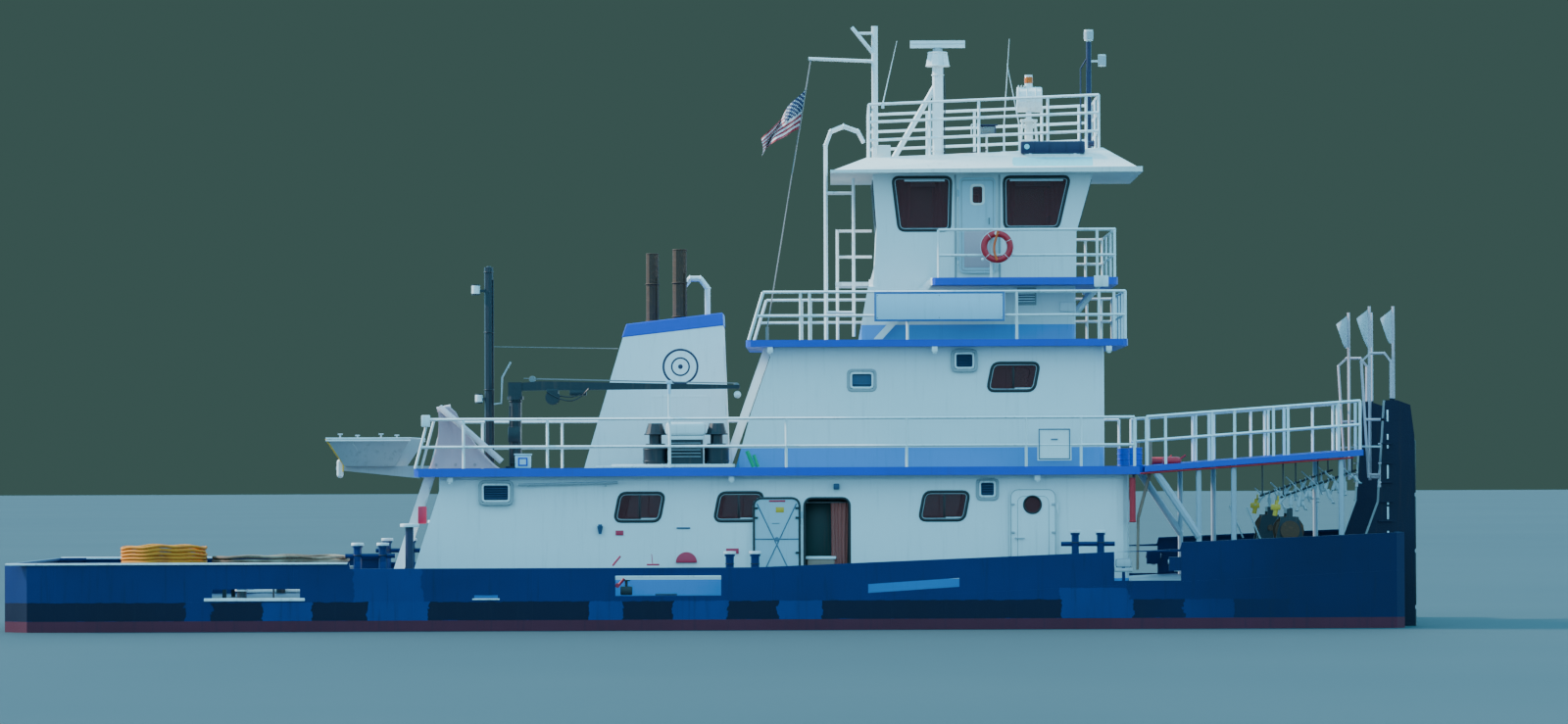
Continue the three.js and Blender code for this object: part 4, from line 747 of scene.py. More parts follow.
# The finishes of the frame's own nodes, whose names stand here without their side
NODE_FINISHES = by_name({
    "hull_blue": "hull", "bulwark_blue": "bulwark", "knee_black": "push_knee", "main_house_white": "main_deckhouse",
    "second_house_white": "second_house", "base_house_white": "pilothouse_base",
    "house_white": "pilothouse stack_casing fore_door", "roof_white": "pilothouse_roof",
    "deck_blue": "upper_deck texas_deck", "wing_blue": "wing_deck", "walkway": "bow_walkway",
    "door_blue": "main_door pilothouse_door", "exhaust_brown": "exhaust_pipe", "faded_canvas": "canvas_cover",
    "gear_black": "crane_pedestal crane_head crane_boom aft_mast engine_room_vents line_rack winch_frame",
    "gear_grey": "skiff_arms", "weathered_aluminium": "skiff", "rust": "winch_drum", "propeller_bronze": "propeller",
    "ensign_bunting": "ensign", "wire_steel": "ensign_halyard"})


def walkway_finish(paints):
    """One node holds the blue walkway and the white rails on it, so height above its slab parts the colours."""
    blue = tuple(paints.deck_edge) + (1,)
    material = paint("walkway", tuple(paints.house) + (1,), runs=0.35, fade=0.15, chips=0.10, under=RUST, chip_size=7)
    tree = material.node_tree
    shader = tree.nodes["Principled BSDF"]
    place = add_node(tree, "ShaderNodeSeparateXYZ", {0: object_place(tree)})
    run = math_node(tree, "MAXIMUM", minus(tree, place.outputs[0], WALK_START), 0.0)
    slab_top = plus(tree, times(tree, run, WALK_SLOPE), 5.765)
    height = minus(tree, place.outputs[2], slab_top)
    white = shader.inputs["Base Color"].links[0].from_socket
    rail = mix_colour(tree, below(tree, height, 0.0), white, blue)
    brace = below(tree, height, -0.13)
    feed(tree, shader, Base_Color=mix_colour(tree, brace, rail, rgb(0.36, 0.40, 0.46)))
    return material


def dress_frame():
    for name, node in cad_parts.items():
        sideless = name.removesuffix("_starboard").removesuffix("_port")
        finish = NODE_FINISHES.get(sideless, "gear_black" if "rudder" in name else "rail_white")
        node.data.materials.clear()
        node.data.materials.append(bpy.data.materials[finish])


# Light, floor and camera
def build_stage(light):
    scene = bpy.context.scene
    sun = bpy.data.lights.new("sun", "SUN")
    sun.energy, sun.angle, sun.color = light.sun, math.radians(light.softness), (1.0, 0.93, 0.84)
    linked("sun", sun).rotation_euler = Vector((0.86, -0.22, -0.62)).to_track_quat("-Z", "Y").to_euler()

    world = bpy.data.worlds.new("sky")
    world.use_nodes = True
    tree = world.node_tree
    back = tree.nodes["Background"]
    back.inputs[0].default_value = rgb(0.26, 0.72, 1.0)
    back.inputs[1].default_value = light.sky
    seen = add_node(tree, "ShaderNodeBackground", {0: rgb(0.045, 0.095, 0.085), 1: 1.0})
    to_eye = add_node(tree, "ShaderNodeLightPath").outputs["Is Camera Ray"]
    mix = add_node(tree, "ShaderNodeMixShader", {0: to_eye, 1: back.outputs[0], 2: seen.outputs[0]})
    tree.links.new(mix.outputs[0], tree.nodes["World Output"].inputs[0])
    scene.world = world

    deselect()
    bpy.ops.mesh.primitive_plane_add(size=900, location=(0, 250, WATERLINE))
    floor = settle(bpy.context.object)
    floor.name = "floor"
    material, tree, shader = new_material("floor_teal", Roughness=0.75, Specular_IOR_Level=0.12)
    tone = mix_colour(tree, noise(tree, 0.05, 3), rgb(0.038, 0.070, 0.085), rgb(0.055, 0.092, 0.105))
    feed(tree, shader, Base_Color=tone)
    floor.data.materials.append(material)

    camera = bpy.data.cameras.new("camera")
    camera.lens, camera.sensor_width, camera.clip_end = 140.625, 36, 2000
    eye = linked("camera", camera)
    eye.location = (2.5, -129.57, 5.74)
    look = (Vector((1.5, -4.57, 7.91)) - eye.location).to_track_quat("-Z", "Y")
    eye.rotation_euler = (look @ Euler((0, 0, math.radians(-0.22))).to_quaternion()).to_euler()
    scene.camera = eye


# Stern lines, coiled on the rack
def track(share, straight, r, mean):
    """A point of a racetrack whose straights lie along X. share runs from 0 to 1 round it."""
    round_end = math.pi * mean
    run = (share % 1) * 2 * (straight + round_end)
    if run < straight:
        return run - straight / 2, -r
    if run < straight + round_end:
        angle = (run - straight) / mean - math.pi / 2
        return straight / 2 + r * math.cos(angle), r * math.sin(angle)
    if run < 2 * straight + round_end:
        return straight / 2 - (run - straight - round_end), r
    angle = (run - 2 * straight - round_end) / mean + math.pi / 2
    return -straight / 2 + r * math.cos(angle), r * math.sin(angle)


def coil_path(centre_x, straight, radii, layers, low, thick, short, loose, steps=72):
    """Turns lie side by side and in layers. Each step to the next turn comes just after the one above it."""
    places = []
    for layer in range(layers):
        for r in (radii if layer % 2 == 0 else radii[::-1]):
            places.append((r, low + thick * (layer + 0.5)))
    count = len(places)
    mean = sum(radii) / len(radii)
    path = []
    for i in range(int((count - short) * steps) + 1):
        turn = i / steps
        r, z = places[0]
        for k in range(count - 1):
            middle = k + 1 - (k + 0.5) / count
            blend = (turn - middle) * count / 0.9 + 0.5
            if blend <= 0:
                break
            blend = min(blend, 1.0)
            blend = blend * blend * (3 - 2 * blend)
            r = places[k][0] + (places[k + 1][0] - places[k][0]) * blend
            z = places[k][1] + (places[k + 1][1] - places[k][1]) * blend
        sway = 0.020 * math.sin(6 * math.pi * turn) + 0.014 * math.sin(10 * math.pi * turn + 1)
        x, y = track(turn, straight, r + sway, mean)
        lift = 0.5 + 0.3 * math.sin(4 * math.pi * turn + 0.7) + 0.2 * math.sin(14 * math.pi * turn)
        z = low + thick / 2 + (z - low - thick / 2) * (1 + loose * lift)
        path.append(Vector((centre_x + x, y, z)))
    return path


def path_length(path):
    return sum((b - a).length for a, b in zip(path, path[1:]))


def laid_rope(name, path, thick, strands=3, around=12, pitch=0.30):
    """A tube along the path, its surface raised over each of the strands that wind round it."""
    vertices, faces, uvs = [], [], []
    along = 0.0
    side = None
    for i, place in enumerate(path):
        before, after = path[max(i - 1, 0)], path[min(i + 1, len(path) - 1)]
        forward = (after - before).normalized()
        side = Vector(Z).cross(forward).normalized()
        up = forward.cross(side)
        if i:
            along += (place - path[i - 1]).length
        twist = 2 * math.pi * along / pitch
        for k in range(around):
            angle = 2 * math.pi * k / around
            swell = abs(math.cos(strands * (angle - twist) / 2))
            r = thick / 2 * (0.84 + 0.16 * swell)
            vertices.append(place + r * (math.cos(angle) * side + math.sin(angle) * up))
    for i in range(len(path) - 1):
        for k in range(around):
            a, b = i * around + k, i * around + (k + 1) % around
            faces.append((a, b, b + around, a + around))
            uvs.append((k / around, (k + 1) / around, i, i + 1))
    last = (len(path) - 1) * around
    faces.append(tuple(reversed(range(around))))
    faces.append(tuple(last + k for k in range(around)))
    mesh = bpy.data.meshes.new(name)
    mesh.from_pydata(vertices, [], faces)
    layer = mesh.uv_layers.new(name="UVMap")
    turns = path_length(path) / (len(path) - 1)
    for face, uv in zip(mesh.polygons, uvs):
        u0, u1, v0, v1 = uv
        skew0, skew1 = v0 * turns / pitch, v1 * turns / pitch
        for loop, value in zip(face.loop_indices, ((u0 - skew0, v0 * turns), (u1 - skew0, v0 * turns),
                                                   (u1 - skew1, v1 * turns), (u0 - skew1, v1 * turns))):
            layer.data[loop].uv = value
    return smooth(linked(name, mesh), 180)


def fine_path(path, step):
    """The path with points at even spacing."""
    result = [path[0]]
    left = step
    for a, b in zip(path, path[1:]):
        span = (b - a).length
        at = left
        while at <= span:
            result.append(a.lerp(b, at / span))
            at += step
        left = at - span
    return result


def build_stern_lines(sizes):
    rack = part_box("line_rack")[1][2] + 0.0003
    thick = sizes.line
    for name, centre, straight, radii, layers, loose, finish in (
            ("stern_line_yellow", -11.65, 0.42, (0.675, 0.605), 6, 0.20, "golden_rope"),
            ("stern_line_brown", -9.22, 1.65, (0.600, 0.530, 0.460), 3, 0.40, "worn_rope")):
        path = coil_path(centre, straight, radii, layers, rack, thick, 0.12, loose)
        line = laid_rope(name + "_rope", fine_path(path, 0.035), thick)
        keep(line, name + "_rope", finish, instead_of=[name])
        round(path_length(path), 2)


# Windows, louvres and doors
MAIN_WINDOWS = ((-2.01, -1.00, 4.67, 5.23), (0.05, 1.04, 4.67, 5.23), (4.28, 5.29, 4.67, 5.23))
MAIN_UNITS = ((-4.78, -4.15, 5.04, 5.47), (5.48, 5.87, 5.10, 5.49))
PILOT_WINDOWS = (((3.90, 10.70), (4.93, 10.70), (4.96, 11.78), (3.77, 11.78)),
                 ((6.10, 10.74), (7.19, 10.74), (7.43, 11.78), (6.09, 11.78)))


def leaning(x0, x1, z0, z1, lean=0.11):
    """Corners of a window whose top is set forward of its foot."""
    return [(x0, z0), (x1 - lean, z0), (x1, z1), (x0 + lean, z1)]


def window(corners, axis, face, inward, gasket, r=0.13):
    """Rubber, inner trim and pane of one window. face is where the wall's outside lies on the axis."""
    points = softened(corners, r)
    rubber = [frame_ring(grown(points, -0.014), axis, face - inward * 0.022, inward * 0.060, gasket + 0.014)]
    trim = [frame_ring(grown(points, -0.030), axis, face + inward * 0.004, inward * 0.012, 0.012)]
    pane = [outline_plate(grown(points, -0.012), axis, face + inward * 0.024, inward * 0.008)]
    return rubber, trim, pane


def slats(x0, x1, z0, z1, face, count, deep=0.05, tilt=-35):
    """Sloping louvre blades that fill an opening in the starboard wall."""
    step = (z1 - z0) / count
    blades = []
    for i in range(count):
        z = z0 + step * (i + 0.5)
        blades.append(block((x0, face, z - 0.004), (x1, face + deep, z + 0.004), turn=(math.radians(tilt), 0, 0)))
    return blades


def keep_windows(name, rubbers, trims, panes):
    keep(rubbers, name + "_rubber", "rubber_black")
    keep(trims, name + "_trim", "frame_silver")
    keep(panes, name + "_panes", "tinted_glass")


def side_windows(windows, side, gasket, name, r=0.13, blind=False):
    """All the windows of one house's two sides: one piece each for the rubber, the trim and the panes."""
    rubbers, trims, panes = [], [], []
    for corners in windows:
        rubber, trim, pane = window(corners, "y", -side, 1, gasket, r)
        (x0, z0), (x1, z1) = corners[0], corners[2]
        if blind:
            trim.append(block((x0 + 0.10, -side + 0.010, z1 - 0.075), (x1 - 0.12, -side + 0.020, z1 - 0.035), 0.004))
        else:
            middle = sum(corner[0] for corner in corners) / 4
            rubber.append(block((middle - 0.016, -side + 0.002, z0 + 0.03),
                                (middle + 0.016, -side + 0.024, z1 - 0.03), 0.003))
            trim.append(block((middle + 0.03, -side + 0.012, z0 + 0.030),
                              (corners[1][0] - 0.06, -side + 0.022, z0 + 0.052), 0.004))
        rubbers += rubber
        trims += trim
        panes += pane
    keep_windows(name, both_sides(rubbers), both_sides(trims), both_sides(panes))


def unit_in_wall(x0, x1, z0, z1, side, out, blades):
    """A cooling unit or vent that fills a hole in the wall: its casing, inner frame and louvres."""
    corners = oblong(x0, x1, z0, z1)
    casing = frame_ring(softened(grown_oblong(corners, -0.02), 0.03, 2), "y", -side - out, out + 0.06, 0.065)
    inner = frame_ring(softened(grown_oblong(corners, -0.065), 0.02, 2), "y", -side - out - 0.012, 0.05, 0.045)
    back = outline_plate(grown_oblong(corners, -0.06), "y", -side - out + 0.06, 0.02)
    if not blades:
        bar = block((x0 + 0.05, -side - 0.005, z0 + 0.11), (x1 - 0.05, -side + 0.02, z0 + 0.135), 0.004)
        return [casing], [inner], [back, bar]
    return [casing], [inner], [back] + slats(x0 + 0.06, x1 - 0.06, z0 + 0.07, z1 - 0.07, -side - out + 0.004, blades)


def grown_oblong(corners, by):
    (u0, v0), (u1, v1) = corners[0], corners[2]
    return oblong(u0 - by, u1 + by, v0 - by, v1 + by)


def build_windows(sizes):
    side_windows([leaning(*place) for place in MAIN_WINDOWS], MAIN_SIDE, sizes.gasket, "main_window")
    side_windows([leaning(5.71, 6.76, 7.34, 7.89)], SECOND_SIDE, sizes.gasket, "second_window")
    side_windows(PILOT_WINDOWS, PILOT_SIDE, sizes.gasket, "pilothouse_side_window", 0.11, blind=True)
    kinds = ([], [], [])

    def end_window(y, half, z0, z1, wall, inward, r=0.13, lean=None):
        found = window(oblong(y - half, y + half, z0, z1), "x", wall, inward, sizes.gasket, r)
        for kind, parts in zip(kinds, found):
            kind += [moved_by(part, lean) for part in parts] if lean else parts

    for y in (-1.5, 1.5):
        end_window(y, 0.4, 4.67, 5.23, 8.60, -1)
    for y in (-1.35, 0, 1.35):
        end_window(y, 0.42, 7.30, 7.90, 8.12, -1)
    for y in (-1.23, 0, 1.23):
        end_window(y, 0.53, 10.74, 11.72, 0, -1, 0.11, lambda at: (7.58 + (at.z - 10.64) * 0.2869, 0, 0))
        end_window(y, 0.48, 10.80, 11.72, 0, 1, 0.11, lambda at: (3.42 - (at.z - 10.76) * 0.0727, 0, 0))
    keep_windows("end_window", *kinds)


def build_units():
    casings, frames, louvres = [], [], []
    for place, side, out, blades in (
            (MAIN_UNITS[0], MAIN_SIDE, 0.11, 6), (MAIN_UNITS[1], MAIN_SIDE, 0.03, 5),
            ((2.83, 3.36, 7.36, 7.75), SECOND_SIDE, 0.02, 0), ((4.99, 5.45, 7.76, 8.15), SECOND_SIDE, 0.08, 6)):
        casing, frame_part, rest = unit_in_wall(*place, side, out, blades)
        casings, frames, louvres = casings + casing, frames + frame_part, louvres + rest
    vent = (6.36, 6.72, 9.14, 9.46)
    casings.append(frame_ring(oblong(*vent), "y", -PILOT_SIDE - 0.022, 0.03, 0.03))
    louvres += slats(*vent, -PILOT_SIDE - 0.020, 6, 0.03)
    keep_pair(casings, "unit_casings", "unit_grey")
    keep_pair(frames, "unit_frames", "rail_white")
    keep_pair(louvres, "unit_louvres", "unit_dark")


def leaf_clips(places, y0, y1):
    """Small wedge clips that hold a door shut."""
    return [block((x - 0.035, y0, z - 0.022), (x + 0.035, y1, z + 0.022), 0.006) for x, z in places]


def build_main_doors():
    """The side doors stand open against the wall, so the face with the seal and the braces is seen."""
    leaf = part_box("main_door_starboard")
    x0, x1, z0, z1 = 0.832, 1.822, leaf[0][2], leaf[1][2]
    face = leaf[0][1]
    if face > -3.2:
        raise RuntimeError("the main door isn't where its fittings go")
    seal = frame_ring(rounded(x0 + 0.046, x1 - 0.046, z0 + 0.046, z1 - 0.046, 0.135), "y", face - 0.020, 0.021, 0.044)
    middle = (x0 + x1) / 2
    braces = [rod((x0 + 0.09, face, z1 - 0.14), (x1 - 0.13, face, z0 + 0.14), 0.013, 8),
              rod((x1 - 0.09, face, z1 - 0.14), (x0 + 0.13, face, z0 + 0.14), 0.013, 8),
              rod((x0 + 0.05, face, 4.28), (x1 - 0.05, face, 4.28), 0.014, 8),
              disc((middle, face, 4.28), Y, 0.045, 0.03, 16, 0.006),
              block((middle - 0.10, face - 0.010, 4.60), (middle + 0.06, face, 4.612), 0.003)]
    edges = [(x, z) for x in (x0 + 0.075, x1 - 0.075) for z in (3.62, 4.00, 4.72, 4.92)]
    clips = leaf_clips(edges, face - 0.030, face)
    lever = [rod((x0 + 0.12, -3.18, 4.30), (x0 + 0.30, -3.18, 4.30), 0.011, 8),
             rod((x0 + 0.12, -3.197, 4.30), (x0 + 0.12, -3.168, 4.30), 0.02, 10)]
    plate = block((middle - 0.02, face - 0.006, 4.83), (middle + 0.15, face, 4.94), 0.002)
    strip = block((middle - 0.16, face - 0.006, z1 - 0.105), (middle + 0.18, face, z1 - 0.065), 0.002)
    keep_on_doors("main_door", (
        (seal, "seal", "rubber_black"), (join(braces), "braces", "brace_blue"),
        (join(clips + lever), "clips", "gear_black"), (plate, "plate", "yellow_paint"), (strip, "strip", "faded_red")))

    rim = frame_ring(rounded(1.925, 2.805, 3.315, 5.095, 0.125), "y", -MAIN_SIDE - 0.014, 0.08, 0.052)
    fore_rim = frame_ring(rounded(6.185, 7.045, 3.535, 5.255, 0.125), "y", -MAIN_SIDE - 0.010, 0.05, 0.04)
    keep(both_sides([rim]) + [fore_rim], "doorway_rims", "rubber_black")
    inside = [block((1.3, -2.3, 3.07), (3.4, -2.24, 5.5), 0.01), block((1.3, -3.05, 3.07), (1.36, -2.26, 5.5), 0.01)]
    keep_pair(inside, "passage_lining", "passage_green")
    crate = [block((1.95, -3.03, 3.06), (2.52, -2.58, 3.86), 0.02)]
    crate += [block((1.94, -3.04, z), (2.53, -2.57, z + 0.03), 0.008) for z in (3.25, 3.52)]
    keep(crate, "doorway_locker", "tan_paint")
    keep(block((1.92, -3.05, 3.86), (2.55, -2.55, 3.92), 0.015), "doorway_locker_lid", "rail_white")


def build_fore_door():
    face = -MAIN_SIDE - 0.090
    bezel = [ring((6.6, face - 0.004, 4.97), Y, 0.175, 0.022, 36, 8)]
    glass = disc((6.6, face - 0.002, 4.97), Y, 0.166, 0.012, 32)
    edge = frame_ring(rounded(6.165, 7.065, 3.515, 5.275, 0.145), "y", face - 0.012, 0.013, 0.018)
    inner = frame_ring(rounded(6.30, 6.93, 3.66, 5.14, 0.12), "y", face - 0.006, 0.007, 0.012)
    clips = leaf_clips([(x, z) for x in (6.20, 7.03) for z in (3.85, 4.40, 4.98)], face - 0.036, face)
    clips += [rod((6.24, face - 0.035, 4.28), (6.44, face - 0.035, 4.28), 0.012, 8),
              rod((6.25, face, 4.28), (6.25, face - 0.045, 4.28), 0.02, 10)]
    body = "fore_door_starboard"
    keep(bezel, "fore_door_bezel", "rubber_black", body)
    keep(glass, "fore_door_porthole", "tinted_glass", body)
    keep([edge, inner], "fore_door_edges", "unit_grey", body)
    keep(clips, "fore_door_clips", "gear_grey", body)


def build_pilothouse_doors():
    face = -PILOT_SIDE - 0.090
    window_frame = frame_ring(softened(oblong(5.42, 5.62, 11.25, 11.59), 0.03, 2), "y", face - 0.012, 0.03, 0.055)
    pane = outline_plate(oblong(5.41, 5.63, 11.24, 11.60), "y", face + 0.012, 0.01)
    border = frame_ring(softened(oblong(5.20, 5.84, 9.86, 11.71), 0.04, 3), "y", face - 0.008, 0.009, 0.022)
    lower = outline_plate(softened(oblong(5.24, 5.80, 9.90, 10.66), 0.03, 2), "y", face - 0.006, 0.008, 0.002)
    handle_x = 5.76
    handle = [rod((handle_x, face - 0.034, 10.80), (handle_x, face - 0.034, 10.94), 0.012, 8)]
    handle += [rod((handle_x, face, z), (handle_x, face - 0.036, z), 0.010, 8) for z in (10.81, 10.93)]
    keep_on_doors("pilothouse_door", (
        (window_frame, "window_frame", "roof_white"), (pane, "window_pane", "tinted_glass"),
        (border, "border", "unit_grey"), (lower, "lower_panel", "faded_pink"), (join(handle), "handle", "wire_steel")))
    posts = [block((x - 0.02, -PILOT_SIDE - 0.02, 9.70), (x + 0.02, -PILOT_SIDE + 0.002, 11.84), 0.005)
             for x in (5.06, 5.98)]
    keep_pair(posts, "pilothouse_door_posts", "unit_grey")


# Boards, life ring and stack
def build_boards():
    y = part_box("texas_rail")[0][1]
    panel = outline_plate(oblong(3.365, 6.045, 8.785, 9.355), "y", y - 0.008, 0.012, 0.002)
    border = frame_ring(oblong(3.385, 6.025, 8.805, 9.335), "y", y - 0.011, 0.006, 0.018, 0.1)
    edge = frame_ring(oblong(3.362, 6.048, 8.782, 9.358), "y", y - 0.012, 0.060, 0.016, 0.2)
    studs = [disc((x, y - 0.010, z), Y, 0.010, 0.008, 10) for x in (3.42, 4.7, 5.99) for z in (8.84, 9.30)]
    keep_pair([panel], "board_panels", "board_blue")
    keep_pair([border, edge], "board_borders", "border_blue")
    keep_pair(studs, "board_studs", "wire_steel")


def build_life_ring():
    centre = Vector((5.9, -3.037, 10.3))
    cover = ring(centre, Y, 0.27, 0.066, 48, 14)
    bands = []
    for turn in (0.5, 2.2, 3.9, 5.5):
        at = centre + 0.27 * Vector((math.cos(turn), 0, math.sin(turn)))
        bands.append(ring(at, (-math.sin(turn), 0, math.cos(turn)), 0.066, 0.005, 20, 6))
    line = []
    for i in range(4):
        start, end = 0.5 + i * math.pi / 2, 0.5 + (i + 1) * math.pi / 2
        points = []
        for k in range(9):
            turn = start + (end - start) * k / 8
            reach = 0.342 + 0.006 * math.sin(math.pi * k / 8)
            points.append(centre + Vector((math.cos(turn) * reach, -0.015, math.sin(turn) * reach)))
        line.append(pipe_along(points, 0.007, 8, curved=True))
    strap = pipe_along([centre + Vector(at) for at in ((0.02, -0.071, 0.33), (-0.02, -0.073, 0.18),
                                                       (-0.07, -0.055, 0.02),
                                                       (-0.05, -0.06, -0.18),
                                                       (0.00, -0.074, -0.28))], 0.028, 8, curved=True)
    patch = disc(centre + Vector((-0.01, -0.062, 0.28)), Y, 0.045, 0.03, 14, 0.008)
    tag = ball(centre + Vector((-0.30, -0.05, -0.26)), 0.035, 10)
    keep(cover, "life_ring_cover", "red_paint")
    keep(line, "life_ring_line", "rail_white")
    keep(bands, "life_ring_bands", "rail_white")
    keep(strap, "life_ring_strap", "orange_paint")
    keep([patch, tag], "life_ring_patch", "rail_white")


def casing_y(z):
    """The casing's side leans in as it rises."""
    return -1.30 + 0.25 * (z - 5.76) / 3.14


def on_casing(obj):
    """Moves a part that was made at y = 0 onto the casing's starboard side."""
    return moved_by(obj, lambda at: (0, casing_y(at.z), 0))


def build_stack():
    def top(x):
        return 8.77 + (x + 1.83) * 0.23 / 2.01

    def level(z):
        share = (z - 5.76) / 3.1
        x0, x1 = -2.72 + 0.89 * share, 0.30 - 0.12 * share
        y = 1.30 - 0.25 * share
        return [(x0, -y), (x1, -y), (x1, y), (x0, y)]

    wide = 0.012
    low, high = ([(x + math.copysign(wide, x + 0.8), y + math.copysign(wide, y)) for x, y in level(z)]
                 for z in (8.55, 8.88))
    cap = between_outlines(low, lambda x: top(x) - 0.26, high, lambda x: top(x) + wide)
    keep(bevel_edges(cap, 0.02), "stack_cap", "trim_blue")
    centre_x, centre_z = -0.70, 7.88
    angles = [a * math.pi / 24 for a in range(48)]
    rings = []
    for r, wide in ((0.38, 0.045), (0.20, 0.035)):
        points = [(centre_x + math.cos(a) * (r - wide), centre_z + math.sin(a) * (r - wide)) for a in angles]
        rings.append(on_casing(frame_ring(points, "y", -0.007, 0.012, wide, 0.2)))
    rings.append(on_casing(disc((centre_x, -0.001, centre_z), Y, 0.05, 0.012, 20)))
    keep_pair(rings, "stack_rings", "panel_navy", slot="hull_paint")
    bands, lips = [], []
    for x, y, r, height in ((-1.325, 0.42, 0.135, 10.30), (-0.725, -0.42, 0.150, 10.36)):
        foot = top(x)
        bands += [ring((x, y, z), Z, r + 0.004, 0.016, 28, 8) for z in (foot + 0.05, 9.66)]
        lips.append(ring((x, y, height), Z, r - 0.006, 0.012, 28, 8))
        lips.append(rod((x + r * 0.75, y - r * 0.75, foot), (x + r * 0.75, y - r * 0.75, height - 0.5), 0.018, 8))
    keep(bands + lips, "exhaust_bands", "exhaust_brown")
    hatch = [on_casing(frame_ring(oblong(-1.30, -0.10, 6.05, 7.25), "y", -0.008, 0.012, 0.05, 0.2))]
    hatch += [on_casing(disc((x, -0.006, z), Y, 0.018, 0.012, 8)) for x in (-1.27, -0.7, -0.13) for z in (6.02, 7.28)]
    keep_pair(hatch, "stack_hatch", "rail_white")


# Cloth
def cloth_grid(name, place, across, along):
    """A sheet whose points come from place(u, v), with u and v from 0 to 1 as its UV map."""
    deselect()
    bpy.ops.mesh.primitive_grid_add(x_subdivisions=across, y_subdivisions=along, size=1, calc_uvs=True)
    obj = bpy.context.object
    obj.name = name
    return smooth(placed(obj, lambda at: place(at.x + 0.5, at.y + 0.5)), 180)


def cloth_area(place, across=48, along=10):
    points = [[Vector(place(i / across, j / along)) for j in range(along + 1)] for i in range(across + 1)]
    total = 0.0
    for i in range(across):
        for j in range(along):
            a, b, c, d = points[i][j], points[i + 1][j], points[i + 1][j + 1], points[i][j + 1]
            total += ((b - a).cross(c - a).length + (c - a).cross(d - a).length) / 2
    return total


def fold_depth(shape, area, most=0.4):
    """How deep the folds of shape(u, v, depth) are, so that the cloth keeps the area it was cut to."""
    low, high = 0.0, most
    for _ in range(11):
        middle = (low + high) / 2
        if cloth_area(lambda u, v: shape(u, v, middle)) < area:
            low = middle
        else:
            high = middle
    return low


def ensign_point(u, v, depth):
    """u runs from the hoist to the fly, v from the foot up. The fly hangs aft and down in the light air."""
    top = Vector((1.953 - 0.90 * u, -0.9, 13.71 - 0.88 * u - 0.15 * u * u))
    foot = Vector((1.815 - 0.84 * u, -0.9, 12.88 - 0.30 * u - 0.30 * u * u))
    place = foot.lerp(top, v)
    wave = math.sin(2 * math.pi * (1.35 * u + 0.55 * v)) + 0.45 * math.sin(2 * math.pi * (2.6 * u - 0.4 * v) + 1.1)
    place.y += depth * min(1.0, 2.6 * u) * wave
    place.x -= 0.25 * depth * min(1.0, 2 * u) * math.cos(2 * math.pi * (1.35 * u + 0.55 * v))
    return place


def build_ensign():
    depth = fold_depth(ensign_point, 1.06)
    flag = cloth_grid("ensign_cloth", lambda u, v: ensign_point(u, v, depth), 72, 40)
    keep(flag, "ensign_cloth", "ensign_bunting", instead_of=["ensign"])
    eyes = [ring((x, -0.9, z), Y, 0.018, 0.005, 14, 6) for x, z in ((1.953, 13.70), (1.818, 12.89))]
    keep(eyes, "ensign_eyes", "wire_steel")


def pennant_point(u, v, depth, x, y):
    """A strip that narrows to its foot, tied down a pole. u runs aft from the pole, v from the foot up."""
    width = 0.20 * v ** 0.7 + 0.03
    away = u * width
    return Vector((x - 0.034 - away, y + depth * u * math.sin(5 * v + 2 * u), 8.28 + 0.70 * v - 0.18 * u * v))


def build_pennants():
    for side, name in SIDE_NAMES:
        for x, which in ((13.62, "aft"), (14.11, "fore")):
            def place(u, v):
                return pennant_point(u, v, 0.05, x, side * 2.55)
            area = cloth_area(place)
            pennant = cloth_grid("pennant_%s_%s" % (which, name), place, 10, 22)
            keep(pennant, pennant.name, "pennant_cloth")


def around_rectangle(share, x0, x1, y0, y1):
    """A point of a rectangle's outline, by its share of the way round."""
    run = (share % 1) * 4
    k, t = int(run), run - int(run)
    corners = ((x0, y0), (x1, y0), (x1, y1), (x0, y1), (x0, y0))
    a, b = Vector(corners[k]), Vector(corners[k + 1])
    return a.lerp(b, t)


def canvas_point(u, v, depth):
    """The cover hangs from a peak near its after side. u runs round it and v up it."""
    foot = around_rectangle(u, -5.86, -4.42, -3.19, -2.36)
    peak = around_rectangle(u, -5.66, -5.46, -2.96, -2.66)
    rise = v ** 1.15
    middle = foot.lerp(peak, 1 - (1 - v) ** 0.82)
    centre = Vector((-5.30, -2.78))
    out = (middle - centre).normalized()
    folds = math.sin(2 * math.pi * 7 * u + 2.2 * v) + 0.6 * math.sin(2 * math.pi * 12 * u - 3 * v + 1)
    hollow = 0.10 * math.sin(math.pi * v)
    middle = middle - out * (hollow + depth * (1 - 0.6 * v) * (0.5 - 0.5 * folds))
    return Vector((middle.x, middle.y, UPPER_Z + 0.004 + 1.27 * rise))


def build_canvas():
    depth = 0.035
    cover = cloth_grid("canvas_folds", lambda u, v: canvas_point(u, v, depth), 168, 40)
    choose(cover)
    edit_all()
    bpy.ops.mesh.remove_doubles(threshold=0.0005)
    faces_out()
    area = cloth_area(lambda u, v: canvas_point(u, v, depth), 168, 40)
    keep(cover, "canvas_folds", "faded_canvas", instead_of=["canvas_cover"])
    cap = [rod((-5.70, -2.81, 6.98), (-5.42, -2.81, 7.035), 0.055, 12)]
    edge = [(-5.62, -3.06, 7.02), (-5.40, -3.20, 6.84), (-4.85, -3.27, 6.36), (-4.34, -3.29, 5.90)]
    keep(cap + [pipe_along(edge, 0.068, 12, curved=True)], "canvas_rolled_edge", "pale_canvas")
    eyes = [ring((x, -3.20, 5.84), Y, 0.02, 0.006, 12, 6) for x in (-5.7, -5.3, -4.9)]
    keep(eyes, "canvas_eyes", "wire_steel")


